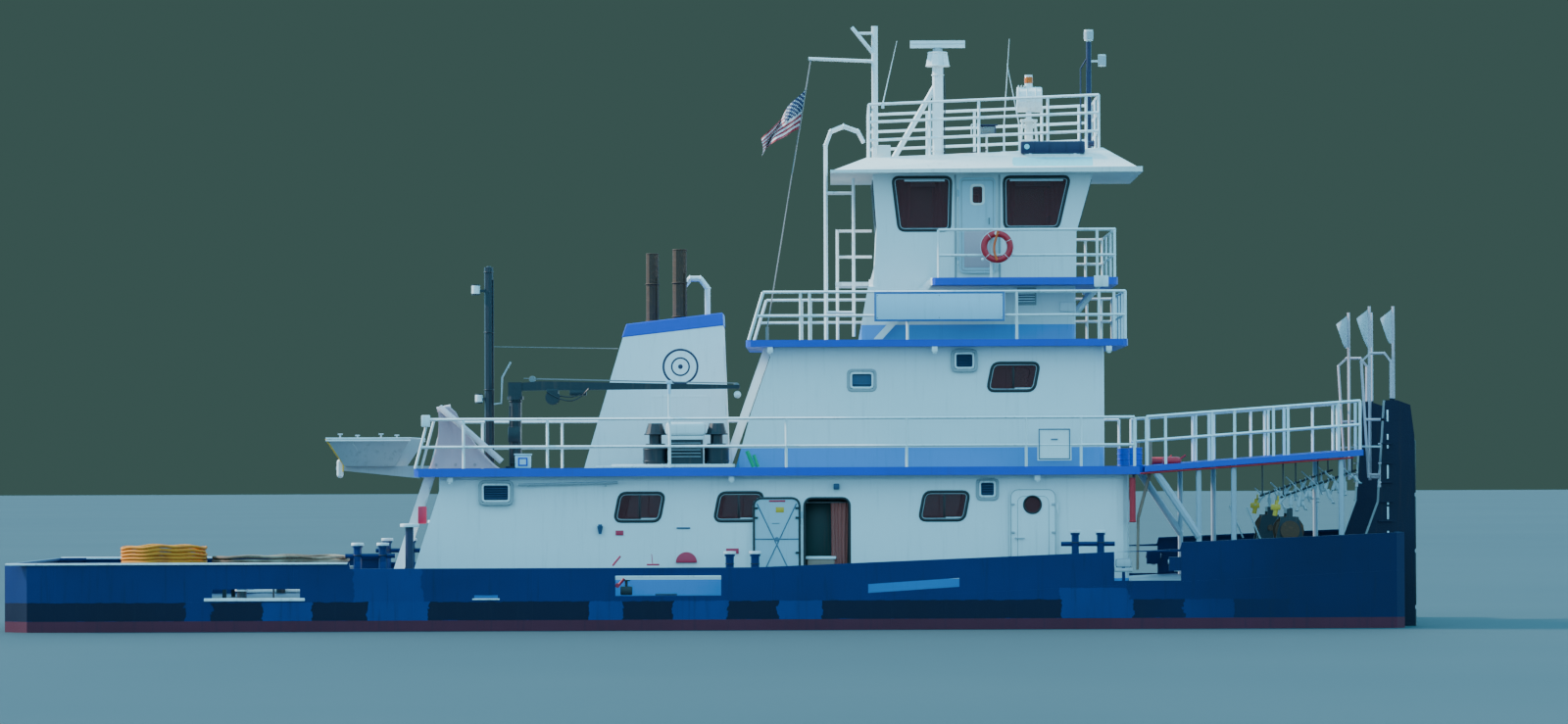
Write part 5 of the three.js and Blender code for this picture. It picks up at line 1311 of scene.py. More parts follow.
def hung_cloth(name, x0, x1, y, z0, z1, folds, fullness):
    """A curtain whose folds are as deep as its cut width asks for."""
    def place(u, v, depth):
        return Vector((x0 + (x1 - x0) * u + 0.015 * math.sin(3 * v + 5 * u),
                       y + depth * math.sin(2 * math.pi * folds * u) * (1.1 - 0.3 * v), z0 + (z1 - z0) * v))
    flat = ((x1 - x0) * fullness, z1 - z0)
    depth = fold_depth(place, flat[0] * flat[1], 0.2)
    curtain = cloth_grid(name, lambda u, v: place(u, v, depth), int(folds * 16), 12)
    keep(curtain, name, "curtain_cloth")


def build_curtains():
    y = -2.98
    hung_cloth("doorway_curtain", 2.44, 2.78, y, 3.30, 5.02, 4.5, 1.8)
    rail = [rod((1.93, y, 5.03), (2.81, y, 5.03), 0.012, 10)]
    rail += [rod((x, y, 5.03), (x, -3.075, 5.03), 0.010, 8) for x in (1.95, 2.79)]
    rail += [ring((2.46 + 0.042 * k, y, 5.024), X, 0.018, 0.003, 12, 6) for k in range(8)]
    keep(rail, "curtain_rail", "wire_steel")
    for side, name in SIDE_NAMES:
        y, rail_z = side * 1.88, 11.755
        for k, (x0, x1) in enumerate(((3.74, 4.12), (4.64, 4.98), (6.00, 6.30), (7.04, 7.36))):
            hung_cloth("pilothouse_curtain_%d_%s" % (k + 1, name), x0, x1, y, 10.66, 11.745, 3.0, 1.6)
        rods = []
        for x0, x1 in ((3.66, 5.02), (5.96, 7.42)):
            rods += [rod((x0, y, rail_z), (x1, y, rail_z), 0.012, 8)]
            rods += [rod((x, y, rail_z), (x, side * 1.965, rail_z), 0.009, 8) for x in (x0 + 0.01, x1 - 0.01)]
        keep(rods, "pilothouse_rail_" + name, "wire_steel")


def build_helm():
    """What shows through the pilothouse windows: the console, its levers and screens, and the chair."""
    profile = [(6.55, 9.69), (7.38, 9.69), (7.40, 10.58), (7.05, 10.70), (6.62, 10.48)]
    console = outline_plate(profile, "y", -1.35, 2.70, 0.03)
    keep([console, block((4.0, -1.2, 9.69), (4.5, 1.2, 10.45), 0.03)], "helm_console", "tan_paint")
    levers = [side * reach for side in BOTH_SIDES for reach in (0.2, 0.45)]
    screens = (-0.85, 0.0, 0.85)
    gear = [rod((6.80, y, 10.52), (6.70, y, 10.80), 0.016, 8) for y in levers]
    gear += [ball((6.70, y, 10.80), 0.03, 10) for y in levers]
    gear += [block((7.02, y - 0.21, 10.72), (7.10, y + 0.21, 11.02), 0.015) for y in screens]
    gear += [rod((7.06, y, 10.62), (7.06, y, 10.74), 0.03, 10) for y in screens]
    gear += [rod((5.75, 0, 9.70), (5.75, 0, 10.25), 0.05, 14), disc((5.75, 0, 9.70), Z, 0.26, 0.04, 24, 0.01),
             block((5.50, -0.27, 10.22), (6.02, 0.27, 10.30), 0.03, 3),
             block((5.44, -0.26, 10.30), (5.52, 0.26, 11.12), 0.03, 3)]
    gear += [pipe_along([(5.52, y, 10.26), (5.52, y, 10.52), (5.92, y, 10.52)], 0.02, 8) for y in (-0.29, 0.29)]
    keep(gear, "helm_gear", "rubber_black")


# Roof gear
def roof(x):
    """The roof's top, which rises towards the bow."""
    return 12.21 + (x - 3.21) * 0.19 / 4.93


def build_whips():
    whips = []
    for x, y, z, tip_x, tip_z in ((3.56, -1.86, 13.34, 3.86, 14.65), (6.10, -1.35, 12.9, 6.22, 14.72),
                                  (6.42, -1.35, 12.9, 6.17, 14.2)):
        foot = Vector((x, y, z))
        whips.append(rod(foot, (tip_x, y, tip_z), 0.012, 8, tip=0.005))
        if y > -1.8:
            whips.append(rod((x, y, roof(x) - 0.02), foot, 0.020, 10))
            whips.append(disc((x, y, roof(x) + 0.02), Z, 0.06, 0.03, 16, 0.006))
        else:
            whips.append(block((x - 0.03, y - 0.06, z - 0.10), (x + 0.03, y + 0.02, z + 0.02), 0.006))
    keep(whips, "roof_whips", "rail_white")


def build_searchlight():
    x, y, z = 6.64, -0.70, 13.48
    lens = disc((6.905, y, z), X, 0.225, 0.02, 40, 0.005)
    hoops = [ring((at, y, z), X, 0.262, 0.010, 44, 8) for at in (6.42, 6.60, 6.78)]
    hoops.append(ring((6.90, y, z), X, 0.242, 0.020, 44, 10))
    hoops += [disc((x, y + side * 0.268, z), Y, 0.06, 0.02, 20, 0.005) for side in BOTH_SIDES]
    hoops += [block((at, y - 0.12, z + 0.255), (at + 0.02, y + 0.12, z + 0.30), 0.004) for at in (6.42, 6.48, 6.54)]
    beacon = [disc((x, y, 13.89), Z, 0.088, 0.15, 24, 0.02), disc((x, y, 13.975), Z, 0.06, 0.03, 20, 0.01)]
    keep(lens, "searchlight_lens", "lamp_glass", "searchlight")
    keep(hoops, "searchlight_hoops", "roof_white", "searchlight")
    keep(beacon, "searchlight_beacon", "amber_glass", "searchlight")

    def corner(dx, dy, reach, height):
        return x + dx * reach, y + dy * reach, height

    legs = []
    for dx, dy in ((-1, -1), (1, -1), (1, 1), (-1, 1)):
        nx, ny = (dx, -dy) if dx * dy > 0 else (-dx, dy)
        top = roof(x + dx * 0.20)
        legs.append(rod(corner(dx, dy, 0.20, top - 0.02), corner(dx, dy, 0.13, 13.02), 0.022, 8))
        legs.append(rod(corner(dx, dy, 0.20, top + 0.03), corner(nx, ny, 0.14, 12.98), 0.012, 6))
        legs += [rod(corner(dx, dy, reach, height), corner(nx, ny, reach, height), 0.012, 6)
                 for height, reach in ((12.62, 0.17), (12.9, 0.14))]
    legs.append(outline_plate(softened(oblong(6.46, 6.82, y - 0.18, y + 0.18), 0.05, 3), "z", 13.01, 0.05, 0.008))
    keep(legs, "searchlight_stand", "roof_white")


def build_floodlight():
    x, y, clamp_x = 5.74, -1.27, 5.42
    housing = [block((5.56, -1.36, 12.72), (5.93, -1.20, 12.90), 0.02),
               block((5.52, -1.40, 12.90), (5.97, -1.18, 12.925), 0.006)]
    glass = block((5.585, -1.372, 12.74), (5.905, -1.358, 12.88), 0.006)
    arm = [rod((x, y, roof(x) - 0.02), (x, y, 12.73), 0.022, 10)]
    arm += [rod(a, b, 0.012, 8) for a, b in (((clamp_x, y, 12.70), (clamp_x, y, 12.93)),
                                             ((clamp_x, y, 12.93), (5.57, y, 12.93)),
                                             ((clamp_x, y, 12.70), (x, y, 12.70)))]
    arm.append(disc((x, y, roof(x) + 0.01), Z, 0.09, 0.03, 18, 0.006))
    keep(housing, "floodlight_housing", "panel_navy")
    keep(glass, "floodlight_glass", "lamp_glass")
    keep(arm, "floodlight_arm", "rail_white")


def build_light_bar():
    bar = [block((6.42, -2.25, 12.265), (7.76, -2.11, 12.525), 0.035, 3)]
    bar += [block((x, -2.262, 12.29), (x + 0.02, -2.10, 12.50), 0.004) for x in (6.68, 7.02, 7.36, 7.66)]
    keep(bar, "light_bar", "panel_navy")
    keep(disc((6.55, -2.256, 12.41), Y, 0.055, 0.02, 20, 0.005), "light_bar_lamp", "pale_cyan")
    feet = [block((x - 0.03, -2.23, 12.15), (x + 0.03, -2.13, 12.275), 0.006) for x in (6.62, 7.55)]
    keep(feet + [block((6.52, -2.22, 12.235), (7.66, -2.14, 12.262), 0.006)], "light_bar_feet", "rail_white")


def build_roof_items():
    x, y = 7.89, -1.10
    sleeve = [rod((x, y, roof(x)), (x, y, 14.67), 0.054, 16), ring((x, y, 12.42), Z, 0.062, 0.016, 24, 8),
              pipe_along([(x - 0.17, y, roof(x)), (x - 0.17, y, 14.10), (x - 0.05, y, 14.30)], 0.016, 8)]
    keep(sleeve, "front_mast_sleeve", "panel_navy")
    lamps = [disc((x, y, 14.80), Z, 0.099, 0.18, 24, 0.01), disc((8.17, y, 14.275), Z, 0.084, 0.20, 24, 0.01)]
    keep(lamps, "front_mast_lamps", "gear_grey", slot="bare_aluminium")
    conduits = [pipe_along(points, 0.014, 8, curved=True) for points in (
        [(4.86, -0.12, 12.36), (4.92, -0.6, 12.34), (5.1, -1.0, 12.32), (5.40, -1.25, 12.33), (5.74, -1.33, 12.40)],
        [(4.86, 0.0, 14.2), (4.90, -0.02, 13.6), (4.875, -0.02, 13.0), (4.88, -0.08, 12.36)],
        [(5.80, -1.20, 12.34), (6.1, -1.28, 12.35), (6.35, -1.1, 12.36), (6.5, -0.85, 12.38)])]
    keep(conduits, "roof_conduits", "rubber_black")
    boxes = [block((3.42, -1.78, 12.22), (3.72, -1.52, 12.48), 0.02),
             block((7.10, -1.6, 12.36), (7.42, -1.38, 12.5), 0.02), disc((7.55, -1.45, 12.43), Z, 0.09, 0.14, 24, 0.03)]
    keep(boxes, "roof_boxes", "roof_white")
    horns = [rod((7.62, y, 12.50), (tip, y, 12.50), 0.025, 14, tip=0.065) for y, tip in ((-1.62, 7.98), (-1.48, 7.90))]
    horns += [rod((7.68, y, 12.36), (7.68, y, 12.50), 0.02, 8) for y in (-1.62, -1.48)]
    keep(horns, "roof_horns", "panel_navy")
    radar_x = 4.74
    scanner = [block((4.17, -0.088, 14.70), (5.31, 0.088, 14.712), 0.003),
               disc((radar_x, 0, 14.58), Z, 0.10, 0.09, 24, 0.01)]
    keep(scanner, "scanner_trim", "unit_grey", "radar_scanner")
    collars = [ring((radar_x, 0, z), Z, r, 0.014, 28, 8)
               for z, r in ((12.44, 0.126), (14.05, 0.125), (14.245, 0.245), (14.52, 0.20))]
    keep(collars, "radar_collars", "roof_white")


# Upper deck gear
def build_vents():
    y, dark = -2.75, []
    for x in (-1.185, 0.085):
        dark.append(disc((x, y, 6.02), Z, 0.255, 0.36, 28, 0.02))
        dark += [ring((x, y, z), Z, r, tube, 28, 6)
                 for z, r, tube in ((5.90, 0.256, 0.012), (6.14, 0.256, 0.012), (6.455, 0.222, 0.016))]
        for a in (0.8, 2.4, 3.9, 5.5):
            foot_x, foot_y = x + math.cos(a) * 0.25, y + math.sin(a) * 0.25
            dark.append(block((foot_x - 0.02, foot_y - 0.02, 5.82), (foot_x + 0.02, foot_y + 0.02, 5.88), 0.004))
    keep(dark, "vent_drums", "gear_black")
    hood = [block((-0.96, -3.05, 6.42), (-0.14, -2.45, 6.70), 0.07, 4),
            block((-0.93, -3.02, 6.34), (-0.17, -2.48, 6.42), 0.01)]
    keep(hood, "vent_hood", "rail_white")
    base = [block((-2.08, -3.08, 5.763), (0.46, -2.42, 5.834), 0.012),
            block((-2.4, -3.18, 5.762), (-1.0, -3.10, 5.80), 0.008)]
    keep(base, "vent_base", "rail_white")
    keep(slats(-0.86, -0.24, 5.95, 6.30, -3.026, 5, 0.03), "vent_louvres", "unit_grey")


def build_skiff_fittings():
    low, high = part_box("skiff")
    x0, x1, top = low[0] + 0.02, high[0] - 0.02, high[2] - 0.004
    half = high[1] - 0.02
    loop = [(x0, -half, top), (x1, -half, top), (x1, half, top), (x0, half, top), (x0, -half, top)]
    gunwale = [pipe_along(loop, 0.020, 10)]
    gunwale += [block((x0 - 0.01, y - 0.03, top - 0.06), (x1 + 0.01, y + 0.03, top - 0.03), 0.008)
                for y in (-half, half)]
    keep(gunwale, "skiff_gunwale", "rail_white")
    floor_z = 5.885
    ribs = []
    for y in (-1.55, -0.55, 0.55, 1.55):
        floor_y = y * (1 - abs(y) / 8)
        ribs.append(pipe_along([(x0 + 0.09, y, top - 0.10), (-7.66, floor_y, floor_z), (-6.70, floor_y, floor_z),
                                (x1 - 0.09, y, top - 0.10)], 0.014, 6))
    ribs.append(pipe_along([(-7.2, -1.86, 5.835), (-7.5, -2.28, 6.30)], 0.012, 6))
    keep(ribs, "skiff_ribs", "weathered_aluminium")
    places = [(x, side * (half - 0.02)) for side in BOTH_SIDES for x in (-7.75, -6.9)]
    cleats = [rod((x, y, top), (x, y, top + 0.09), 0.018, 8) for x, y in places]
    cleats += [rod((x - 0.05, y, top + 0.085), (x + 0.05, y, top + 0.085), 0.014, 8) for x, y in places]
    keep(cleats, "skiff_cleats", "gear_grey", slot="bare_aluminium")
    guard = [(x0 - 0.004, -half, top - 0.02), (-7.72, -half + 0.42, 5.86), (-7.73, -half + 0.44, 5.70)]
    keep(pipe_along(guard, 0.018, 8), "skiff_edge_guard", "yellow_paint", slot="yellow_rope")
    upper, lower = (-7.80, -1.72, 5.90), (-7.80, -1.72, 5.64)
    keep([rod(lower, upper, 0.07, 14), ball(upper, 0.07), ball(lower, 0.07)], "skiff_fender", "rail_white")


def build_crane_gear():
    y, body = -2.90, "crane_boom"
    wires = [rod((-3.9, y, 7.62), (0.50, y, 7.505), 0.008, 6),
             rod((-3.75, y - 0.05, 7.60), (0.46, y - 0.05, 7.50), 0.006, 6)]
    sheaves = [disc((0.50, y, 7.455), Y, 0.062, 0.05, 20, 0.006), disc((-3.72, y, 7.60), Y, 0.07, 0.12, 20, 0.006)]
    hook = rod((0.52, y, 7.42), (0.52, y, 7.34), 0.010, 8)
    weight = ball((0.52, y, 7.27), 0.075, 18)
    winch = [disc((-3.30, y + shift, 7.22), Y, r, thick, sides, bevel)
             for shift, r, thick, sides, bevel in ((0, 0.10, 0.20, 24, 0.01), (-0.12, 0.15, 0.02, 28, 0.004),
                                                   (0.12, 0.15, 0.02, 28, 0.004))]
    winch += [block((-3.42, y - 0.10, 7.30), (-3.18, y + 0.10, 7.40), 0.01),
              block((-2.95, y - 0.07, 7.26), (-2.60, y + 0.07, 7.38), 0.015)]
    for reach, dip in ((0.10, 0.12), (0.14, 0.20)):
        hose = [(x, y - reach, z) for x, z in ((-3.42, 7.34), (-3.1, 7.34 - dip), (-2.75, 7.36 - dip), (-2.55, 7.40))]
        winch.append(pipe_along(hose, 0.014, 8, curved=True))
    keep(wires + sheaves, "crane_wires", "wire_steel", body)
    keep([hook] + winch, "crane_winch", "gear_black", body)
    keep(weight, "crane_ball", "rail_white", body)
    x = -4.07
    pipes = [pipe_along([(x - 0.11, y - 0.16, 5.8), (x - 0.11, y - 0.16, 7.05)], 0.018, 8),
             block((-4.22, y - 0.20, 6.3), (-3.96, y - 0.12, 6.62), 0.02)]
    pipes += [ring((x, y, z), Z, 0.130, 0.014, 28, 8) for z in (5.86, 7.14)]
    pipes += [outline_plate([(x + 0.125, 5.765), (x + 0.34, 5.765), (x + 0.125, 6.08)], "y", y - 0.008, 0.016)]
    keep(pipes, "crane_pedestal_fittings", "gear_black")
    x, y = -0.88, -3.40
    post = [rod((x, y, 5.765), (x, y, 7.30), 0.024, 12), disc((x, y, 5.78), Z, 0.07, 0.03, 18, 0.006)]
    keep(post, "boom_rest_post", "rail_white")
    tip = [rod((x, y, 7.28), (x, y, 7.50), 0.034, 12), block((-0.94, -3.44, 7.49), (-0.82, -3.36, 7.56), 0.01)]
    keep(tip, "boom_rest_tip", "board_blue")


def build_aft_mast_gear():
    x, y = -4.68, -1.80
    lamps = [disc((x - reach, y, z), Z, r, high, 22, 0.008)
             for reach, z, r, high in ((0.27, 9.49, 0.091, 0.17), (0.21, 7.22, 0.081, 0.15))]
    keep(lamps, "aft_mast_lamps", "rail_white", slot="bare_aluminium")
    gear = [rod((x + 0.09, y - 0.03, 5.8), (x + 0.09, y - 0.03, 9.7), 0.016, 8)]
    gear += [ring((x, y, z), Z, 0.098, 0.012, 24, 6) for z in (5.84, 7.4, 8.6, 9.86)]
    gear += [rod((x, y, 9.95), (x, y, 9.985), 0.07, 16, tip=0.03)]
    keep(gear, "aft_mast_fittings", "gear_black")
    arm = [(x + 0.09, y - 0.02, 7.10), (x + 0.26, y - 0.06, 7.12), (x + 0.28, y - 0.06, 7.66),
           (x + 0.46, y - 0.06, 7.98)]
    keep(pipe_along(arm, 0.020, 8), "aft_mast_arm", "gear_grey")
    keep(rod((x + 0.09, y, 8.30), (-2.02, -0.90, 8.27), 0.007, 6), "aft_mast_stay", "wire_steel")


def build_upper_deck_items():
    box = [block((-4.06, -3.36, 5.763), (-3.74, -3.12, 6.03), 0.02),
           block((-4.08, -3.38, 6.03), (-3.72, -3.10, 6.06), 0.01)]
    keep(box, "deck_box", "board_blue")
    keep(frame_ring(oblong(-3.98, -3.82, 5.83, 5.96), "y", -3.372, 0.012, 0.03), "deck_box_frame", "trim_blue")
    gates = [frame_ring(oblong(6.74, 7.36, 5.92, 6.52), "y", -3.473, 0.02, 0.022),
             block((6.98, -3.472, 6.30), (7.12, -3.453, 6.33), 0.004)]
    keep_pair(gates, "gate_frames", "brace_blue")
    keep(block((-5.98, -3.56, 6.62), (-5.80, -3.44, 6.86), 0.02), "corner_box", "rail_white")
    green = [rod((0.86, -3.30, 5.77), (0.72, -3.30, 6.10), 0.045, 12),
             rod((0.95, -3.32, 5.77), (0.86, -3.32, 6.02), 0.035, 12)]
    keep(green, "green_bundle", "green_plastic")
    lamps = []
    for places, y, z in (((1.2, 4.6, 8.2), -3.04, 8.13), ((-5.4, 0.4, 6.7), -3.37, 5.47)):
        for x in places:
            lamps += [block((x - 0.06, y - 0.05, z), (x + 0.06, y + 0.05, z + 0.12), 0.012),
                      disc((x, y, z - 0.015), Z, 0.04, 0.03, 16, 0.006)]
    keep_pair(lamps, "deck_edge_lamps", "rail_white", slot="bare_aluminium")
    boxes = [block((7.22, -2.09, 8.98), (7.56, -2.02, 9.18), 0.015),
             block((7.90, -3.02, 9.47), (8.20, -2.985, 9.70), 0.012)]
    keep_pair(boxes, "side_boxes", "rail_white")


# Hull side and main deck
def build_deck_gear():
    caps, bands = [], []
    for places, top, r in (((0.37, 0.89), 4.01, 0.085), ((7.44, 7.96), 4.42, 0.075), ((-7.25, -6.73), 4.21, 0.085)):
        for x in places:
            caps.append(disc((x, -4.18, top + 0.006), Z, r * 1.45 + 0.006, 0.06, 24, 0.012))
            bands.append(ring((x, -4.18, top - 0.22), Z, r + 0.004, 0.010, 24, 6))
    keep_pair(caps, "bitt_caps", "bollard_white")
    keep_pair(bands, "bitt_bands", "gear_black")
    keep_pair([block((-14.42, -4.612, 3.812), (-7.43, -4.43, 3.852), 0.008)], "cap_strip", "bollard_white")
    lips = [block((-10.36, -4.60, 3.065), (-8.30, -4.50, 3.13), 0.012),
            block((-4.88, -4.59, 3.075), (-4.32, -4.50, 3.105), 0.01)]
    keep_pair(lips, "slot_lips", "bollard_white")
    small = [rod((-9.6, -4.42, 3.05), (-9.6, -4.42, 3.28), 0.10, 20),
             rod((-8.95, -4.44, 3.05), (-8.95, -4.44, 3.32), 0.02, 10)]
    keep_pair(small, "slot_bollards", "gear_black")
    keep_pair([disc((-9.6, -4.42, 3.29), Z, 0.14, 0.04, 24, 0.01)], "slot_bollard_caps", "bollard_white")
    x, y = -6.18, -4.30
    tall = [rod((x, y, 3.05), (x, y, 4.58), 0.085, 20), ring((x, y, 3.10), Z, 0.105, 0.02, 24, 8)]
    keep_pair(tall, "tall_bollards", "panel_navy")
    keep_pair([disc((x, y, 4.60), Z, 0.19, 0.07, 28, 0.015)], "tall_bollard_caps", "bollard_white")
    kevels = [block((8.25, -4.565, 3.69), (8.57, -4.41, 3.87), 0.03, 3),
              block((8.22, -4.58, 3.60), (8.60, -4.40, 3.68), 0.02),
              rod((9.32, -4.50, 3.80), (9.66, -4.50, 3.80), 0.05, 14),
              block((9.44, -4.555, 3.60), (9.54, -4.43, 3.80), 0.015)]
    keep_pair(kevels, "kevel_castings", "gear_grey")
    keep_pair([block((-1.96, -4.598, 3.525), (0.20, -4.50, 3.560), 0.008)], "recess_lips", "bollard_white")
    x, y = -1.74, -4.40
    valve = [block((-1.86, -4.46, 3.16), (-1.62, -4.30, 3.34), 0.02), rod((x, y, 3.34), (x, y, 3.46), 0.03, 10),
             ring((x, y, 3.46), Z, 0.07, 0.012, 20, 8), block((-1.15, -4.50, 3.155), (-0.70, -4.44, 3.185), 0.01)]
    keep_pair(valve, "recess_valves", "gear_black")
    taps = [rod((-1.90, -4.44, 3.36), (-1.78, -4.44, 3.50), 0.03, 10),
            disc((-1.92, -4.44, 3.36), Y, 0.05, 0.03, 16, 0.006)]
    keep_pair(taps, "recess_taps", "faded_red")


def build_wall_fittings():
    wall = -MAIN_SIDE
    sunk = wall + 0.002
    half = [(-0.54 + 0.22 * math.cos(a * math.pi / 16), 3.80 + 0.22 * math.sin(a * math.pi / 16)) for a in range(17)]
    reds = [outline_plate(half, "y", wall - 0.05, 0.052, 0.008),
            block((-2.00, wall - 0.02, 4.37), (-1.84, sunk, 4.47), 0.004),
            block((0.28, wall - 0.02, 3.98), (0.54, sunk, 4.09), 0.004),
            block((-6.10, -2.9, 4.62), (-5.92, -2.8, 4.98), 0.02)]
    keep_pair(reds, "red_plates", "faded_red")
    dark = [rod((-2.32, wall - 0.06, 4.56), (-2.32, wall - 0.06, 4.40), 0.06, 14, tip=0.03)]
    dark += [block((x0, wall - out, z0), (x1, sunk, z1), bevel) for x0, x1, out, z0, z1, bevel in (
        (-2.36, -2.28, 0.05, 4.54, 4.60, 0.008), (-0.74, -0.46, 0.025, 4.50, 4.53, 0.004),
        (2.50, 2.62, 0.12, 5.30, 5.42, 0.02))]
    keep_pair(dark, "wall_fittings", "unit_dark")
    pole = [rod((-4.0, wall - 0.10, 5.42), (-1.95, wall - 0.10, 5.46), 0.025, 10)]
    pole += [block((x - 0.02, wall - 0.13, 5.38), (x + 0.02, sunk, 5.41), 0.004) for x in (-3.8, -2.2)]
    keep_pair(pole, "stowed_poles", "gear_grey")
    clamps = [rod((-2.02, -4.40, 3.76), (-1.86, -4.40, 3.96), 0.02, 8),
              block((-1.32, -4.52, 3.765), (-1.06, -4.42, 3.80), 0.008),
              rod((-1.20, -4.47, 3.79), (-1.22, -4.47, 4.0), 0.008, 6)]
    keep_pair(clamps, "red_clamps", "faded_red")
    keep_pair([block((-5.60, wall - 0.03, 5.50), (8.50, sunk, 5.53), 0.006)], "rain_gutters", "main_house_white")


# Bow
def under_walk(x):
    """The underside of the bow walkway, which rises towards the bow."""
    return 5.64 + (x - WALK_START) * WALK_SLOPE


def build_knee_gear():
    marks = [block((13.93, -2.972, z0), (13.965, -2.955, z1), 0.004) for z0, z1 in (
        (6.66, 6.90), (6.28, 6.40), (6.10, 6.17), (5.48, 5.76), (4.94, 5.00), (4.64, 4.90), (4.34, 4.40))]
    keep_pair(marks, "knee_marks", "bollard_white")
    rungs = [pipe_along([(13.76, -2.97, z), (13.76, -3.05, z), (14.02, -3.05, z), (14.02, -2.97, z)], 0.014, 8)
             for z in (4.2, 4.6, 5.0, 5.4, 5.8, 6.2)]
    keep_pair(rungs, "knee_rungs", "knee_black")
    pads = [block((14.46, -2.94, z), (14.53, -2.46, z + 1.10), 0.03, 3) for z in (1.70, 2.86, 4.02, 5.18)]
    keep_pair(pads, "knee_pads", "rubber_black")
    keep_pair([block((13.42, -3.3, 6.12), (13.78, -2.98, 6.16), 0.006)], "knee_platforms", "gear_grey")


def build_walk_gear():
    line = [pipe_along([(8.6, -3.42, 5.60), (8.9, -3.46, under_walk(8.9) - 0.03),
                        (13.2, -3.46, under_walk(13.2) - 0.03)],
                       0.020, 8),
            rod((8.66, -3.30, 4.6), (8.66, -3.30, 5.52), 0.065, 14), ring((8.66, -3.30, 4.62), Z, 0.06, 0.02, 20, 8)]
    keep_pair(line, "red_service_line", "red_paint")
    struts = [rod((9.02, -3.20, 5.60), (8.78, -3.20, 4.70), 0.035, 10),
              rod((8.78, -3.20, 4.70), (8.76, -3.20, 3.62), 0.030, 10),
              rod((9.06, -2.6, 5.78), (9.06, -2.6, 6.30), 0.04, 12)]
    keep_pair(struts, "tan_struts", "tan_paint")
    x, y = 8.76, -2.66
    drum = [rod((x, y, 5.765), (x, y, 6.14), 0.13, 22)]
    drum += [ring((x, y, z), Z, 0.132, 0.010, 28, 8) for z in (5.78, 5.90, 6.02, 6.13)]
    keep_pair(drum, "walk_drums", "trim_blue")
    top = (9.62, -2.6, 5.86)
    bottles = [rod((9.32, -2.6, 5.86), top, 0.09, 16), ball(top, 0.09), rod(top, (9.80, -2.6, 5.98), 0.02, 8)]
    keep_pair(bottles, "walk_bottles", "red_paint")


def build_winches():
    x, z = 11.9, 4.42
    for side, name in SIDE_NAMES:
        y, body = side * 2.8, "winch_drum_" + name
        turns = [ring((x, y + 0.033 * k, z), Y, 0.185, 0.0165, 40, 8) for k in range(-9, 10)]
        turns += [ring((x, y + 0.033 * k + 0.016, z), Y, 0.214, 0.0165, 40, 8) for k in range(-8, 8)]
        keep(turns, "winch_wire_" + name, "wire_steel", body)
        keep(disc((x, y - side * 0.41, z), Y, 0.25, 0.016, 36, 0.003), "winch_ratchet_" + name, "rust", body)
    motors = [block((11.50, -2.62, 3.66), (11.78, -2.30, 4.0), 0.03),
              rod((11.34, -2.8, 4.2), (11.05, -2.8, 4.9), 0.018, 8)]
    keep_pair(motors, "winch_motors", "gear_grey")


def build_hung_gear():
    y = -3.06
    rail = [rod((11.72, y, 5.10), (13.30, y, 5.66), 0.022, 10)]
    rail += [rod((x, y, z), (x, y, under_walk(x)), 0.016, 8) for x, z in ((11.78, 5.12), (13.2, 5.62), (12.5, 5.37))]
    keep_pair(rail, "ratchet_rail", "gear_black")
    hung = []
    for k in range(13):
        x = 11.82 + 0.112 * k
        y, z = -3.06 + 0.02 * (k % 3 - 1), 5.10 + (x - 11.72) * 0.354
        drop, lean = 0.22 + 0.07 * ((k * 5) % 4), 0.10 * ((k * 7) % 5 - 2)
        foot = (x + lean, y - 0.04 * (k % 2), z - drop)
        hung += [ring((x, y, z), (1, 0, 0.3), 0.040, 0.011, 14, 6), rod((x, y, z - 0.03), foot, 0.022, 8),
                 rod((x + lean * 0.4, y - 0.02, z - drop * 0.35), (x + lean * 0.7, y - 0.03, z - drop * 0.8), 0.042,
                     10),
                 ring(foot, (lean, 0.2, 1), 0.034, 0.010, 14, 6)]
        if k % 3 == 0:
            hung.append(rod((x, y, z - 0.05), (x - 0.20, y - 0.05, z + 0.14), 0.014, 6))
    keep_pair(hung, "hung_ratchets", "gear_grey", slot="bare_aluminium")
    hook = [rod((11.66, -3.10, 5.04), (11.60, -3.10, 4.72), 0.05, 12),
            ring((11.67, -3.08, 5.08), X, 0.05, 0.016, 18, 8),
            block((11.52, -3.16, 4.84), (11.72, -3.05, 4.96), 0.02)]
    keep_pair(hook, "yellow_ratchet", "yellow_paint")


# Settings
def colour_setting(name, description, default):
    return bpy.props.FloatVectorProperty(name=name, description=description, size=3, subtype="COLOR",
                                         default=default, min=0, max=1)


def length_setting(name, description, default, low, high):
    return bpy.props.FloatProperty(name=name, description=description, default=default, min=low, max=high,
                                   subtype="DISTANCE", unit="LENGTH")


class TowboatPaints(bpy.types.PropertyGroup):
    house: colour_setting("House", "Paint of the houses", (0.78, 0.81, 0.82))
    deck_edge: colour_setting("Deck edge", "Paint of the deck edges and stack top", (0.002, 0.065, 0.50))
    band: colour_setting("House band", "Paint at the foot of each house", (0.09, 0.29, 0.68))
    hull: colour_setting("Hull", "Paint of the hull and bulwark", (0.001, 0.019, 0.105))
    boot_top: colour_setting("Boot top", "Paint at the waterline and below", (0.10, 0.016, 0.035))


class TowboatSizes(bpy.types.PropertyGroup):
    line: length_setting("Stern line", "Diameter of the coiled lines", 0.07, 0.04, 0.12)
    gasket: length_setting("Gasket", "Width of the rubber round each window", 0.045, 0.02, 0.1)


class TowboatLight(bpy.types.PropertyGroup):
    sun: bpy.props.FloatProperty(name="Sun", description="Strength of the sun from astern", default=5.8, min=0)
    sky: bpy.props.FloatProperty(name="Sky", description="Strength of the light from the sky", default=2.2, min=0)
    softness: bpy.props.FloatProperty(name="Softness", description="Width of the sun, in degrees", default=6, min=0)


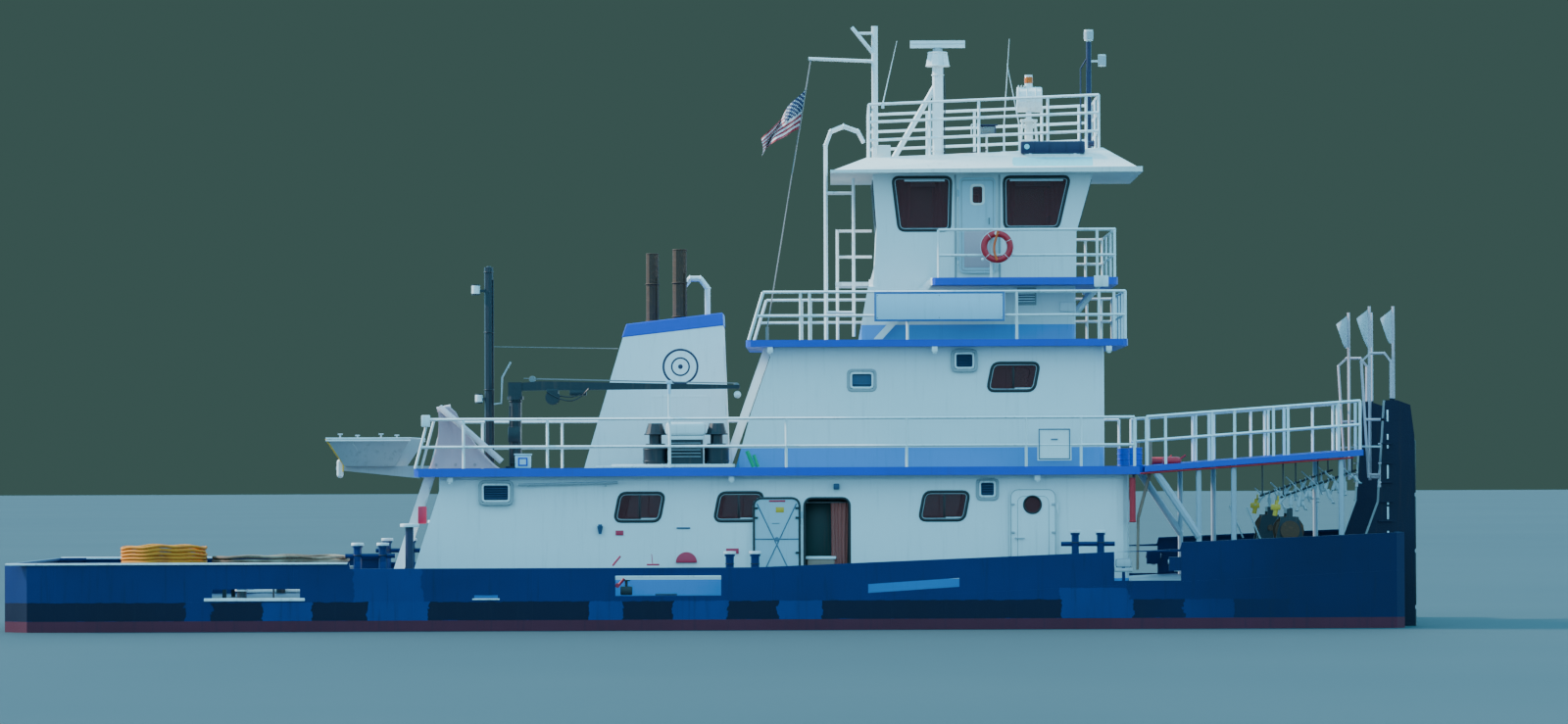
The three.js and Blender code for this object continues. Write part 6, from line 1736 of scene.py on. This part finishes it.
# Steps
class TOWBOAT_OT_stage(bpy.types.Operator):
    """Build the camera, the light and the floor at the waterline"""
    bl_idname = "towboat.stage"
    bl_label = "Stage"

    def execute(self, context):
        build_stage(context.scene.towboat_light)
        return {"FINISHED"}


class TOWBOAT_OT_finishes(bpy.types.Operator):
    """Mix the paints and other finishes, and give the frame its own"""
    bl_idname = "towboat.finishes"
    bl_label = "Finishes"

    def execute(self, context):
        build_finishes(context.scene.towboat_paints)
        walkway_finish(context.scene.towboat_paints)
        dress_frame()
        return {"FINISHED"}


class TOWBOAT_OT_stern_lines(bpy.types.Operator):
    """Coil the two lines on their rack"""
    bl_idname = "towboat.stern_lines"
    bl_label = "Stern lines"

    def execute(self, context):
        build_stern_lines(context.scene.towboat_sizes)
        return {"FINISHED"}


class TOWBOAT_OT_windows(bpy.types.Operator):
    """Set the panes of every house in their rubber"""
    bl_idname = "towboat.windows"
    bl_label = "Windows"

    def execute(self, context):
        build_windows(context.scene.towboat_sizes)
        return {"FINISHED"}


class TOWBOAT_OT_units(bpy.types.Operator):
    """Fit the cooling units and vents into the walls"""
    bl_idname = "towboat.units"
    bl_label = "Cooling units"

    def execute(self, context):
        build_units()
        return {"FINISHED"}


class TOWBOAT_OT_doors(bpy.types.Operator):
    """Fit the seals, braces and handles of the doors"""
    bl_idname = "towboat.doors"
    bl_label = "Doors"

    def execute(self, context):
        build_main_doors()
        build_fore_door()
        build_pilothouse_doors()
        return {"FINISHED"}


class TOWBOAT_OT_boards(bpy.types.Operator):
    """Hang the blank boards on the texas rail"""
    bl_idname = "towboat.boards"
    bl_label = "Boards"

    def execute(self, context):
        build_boards()
        return {"FINISHED"}


class TOWBOAT_OT_life_ring(bpy.types.Operator):
    """Dress the life ring with its cover, line and strap"""
    bl_idname = "towboat.life_ring"
    bl_label = "Life ring"

    def execute(self, context):
        build_life_ring()
        return {"FINISHED"}


class TOWBOAT_OT_stack(bpy.types.Operator):
    """Finish the stack's cap, rings and exhaust pipes"""
    bl_idname = "towboat.stack"
    bl_label = "Stack"

    def execute(self, context):
        build_stack()
        return {"FINISHED"}


class TOWBOAT_OT_ensign(bpy.types.Operator):
    """Fly the ensign from its halyard"""
    bl_idname = "towboat.ensign"
    bl_label = "Ensign"

    def execute(self, context):
        build_ensign()
        return {"FINISHED"}


class TOWBOAT_OT_pennants(bpy.types.Operator):
    """Tie the pennants to the knee poles"""
    bl_idname = "towboat.pennants"
    bl_label = "Pennants"

    def execute(self, context):
        build_pennants()
        return {"FINISHED"}


class TOWBOAT_OT_canvas(bpy.types.Operator):
    """Drape the faded canvas"""
    bl_idname = "towboat.canvas"
    bl_label = "Canvas cover"

    def execute(self, context):
        build_canvas()
        return {"FINISHED"}


class TOWBOAT_OT_curtains(bpy.types.Operator):
    """Hang the curtains and fit the helm behind them"""
    bl_idname = "towboat.curtains"
    bl_label = "Curtains and helm"

    def execute(self, context):
        build_curtains()
        build_helm()
        return {"FINISHED"}


class TOWBOAT_OT_roof_gear(bpy.types.Operator):
    """Fit the lamps, whips and horns of the roof"""
    bl_idname = "towboat.roof_gear"
    bl_label = "Roof gear"

    def execute(self, context):
        build_whips()
        build_searchlight()
        build_floodlight()
        build_light_bar()
        build_roof_items()
        return {"FINISHED"}


class TOWBOAT_OT_upper_gear(bpy.types.Operator):
    """Fit the vents, skiff, crane and after mast"""
    bl_idname = "towboat.upper_gear"
    bl_label = "Upper deck gear"

    def execute(self, context):
        build_vents()
        build_skiff_fittings()
        build_crane_gear()
        build_aft_mast_gear()
        build_upper_deck_items()
        return {"FINISHED"}


class TOWBOAT_OT_deck_gear(bpy.types.Operator):
    """Fit the bitts, kevels, lips and wall fittings"""
    bl_idname = "towboat.deck_gear"
    bl_label = "Main deck gear"

    def execute(self, context):
        build_deck_gear()
        build_wall_fittings()
        return {"FINISHED"}


class TOWBOAT_OT_bow_gear(bpy.types.Operator):
    """Fit the knees, winches and hung gear of the bow"""
    bl_idname = "towboat.bow_gear"
    bl_label = "Bow gear"

    def execute(self, context):
        build_knee_gear()
        build_walk_gear()
        build_winches()
        build_hung_gear()
        return {"FINISHED"}


STEPS = (TOWBOAT_OT_stage, TOWBOAT_OT_finishes, TOWBOAT_OT_stern_lines, TOWBOAT_OT_windows, TOWBOAT_OT_units,
         TOWBOAT_OT_doors, TOWBOAT_OT_boards, TOWBOAT_OT_life_ring, TOWBOAT_OT_stack, TOWBOAT_OT_ensign,
         TOWBOAT_OT_pennants, TOWBOAT_OT_canvas, TOWBOAT_OT_curtains, TOWBOAT_OT_roof_gear, TOWBOAT_OT_upper_gear,
         TOWBOAT_OT_deck_gear, TOWBOAT_OT_bow_gear)


class TOWBOAT_PT_steps(bpy.types.Panel):
    """The steps that build the towboat, in order"""
    bl_label = "River Towboat"
    bl_idname = "TOWBOAT_PT_steps"
    bl_space_type = "VIEW_3D"
    bl_region_type = "UI"
    bl_category = "Towboat"

    def draw(self, context):
        for group in (context.scene.towboat_paints, context.scene.towboat_sizes, context.scene.towboat_light):
            box = self.layout.box()
            for key in group.__annotations__:
                box.prop(group, key)
        for step in STEPS:
            self.layout.operator(step.bl_idname)


CLASSES = (TowboatPaints, TowboatSizes, TowboatLight, *STEPS, TOWBOAT_PT_steps)


def register():
    for made in CLASSES:
        bpy.utils.register_class(made)
    bpy.types.Scene.towboat_paints = bpy.props.PointerProperty(type=TowboatPaints)
    bpy.types.Scene.towboat_sizes = bpy.props.PointerProperty(type=TowboatSizes)
    bpy.types.Scene.towboat_light = bpy.props.PointerProperty(type=TowboatLight)


def unregister():
    for key in ("towboat_paints", "towboat_sizes", "towboat_light"):
        delattr(bpy.types.Scene, key)
    for made in reversed(CLASSES):
        bpy.utils.unregister_class(made)


def main():
    register()
    bpy.ops.towboat.stage()
    bpy.ops.towboat.finishes()
    bpy.ops.towboat.stern_lines()
    bpy.ops.towboat.windows()
    bpy.ops.towboat.units()
    bpy.ops.towboat.doors()
    bpy.ops.towboat.boards()
    bpy.ops.towboat.life_ring()
    bpy.ops.towboat.stack()
    bpy.ops.towboat.ensign()
    bpy.ops.towboat.pennants()
    bpy.ops.towboat.canvas()
    bpy.ops.towboat.curtains()
    bpy.ops.towboat.roof_gear()
    bpy.ops.towboat.upper_gear()
    bpy.ops.towboat.deck_gear()
    bpy.ops.towboat.bow_gear()


if __name__ == "__main__":
    main()
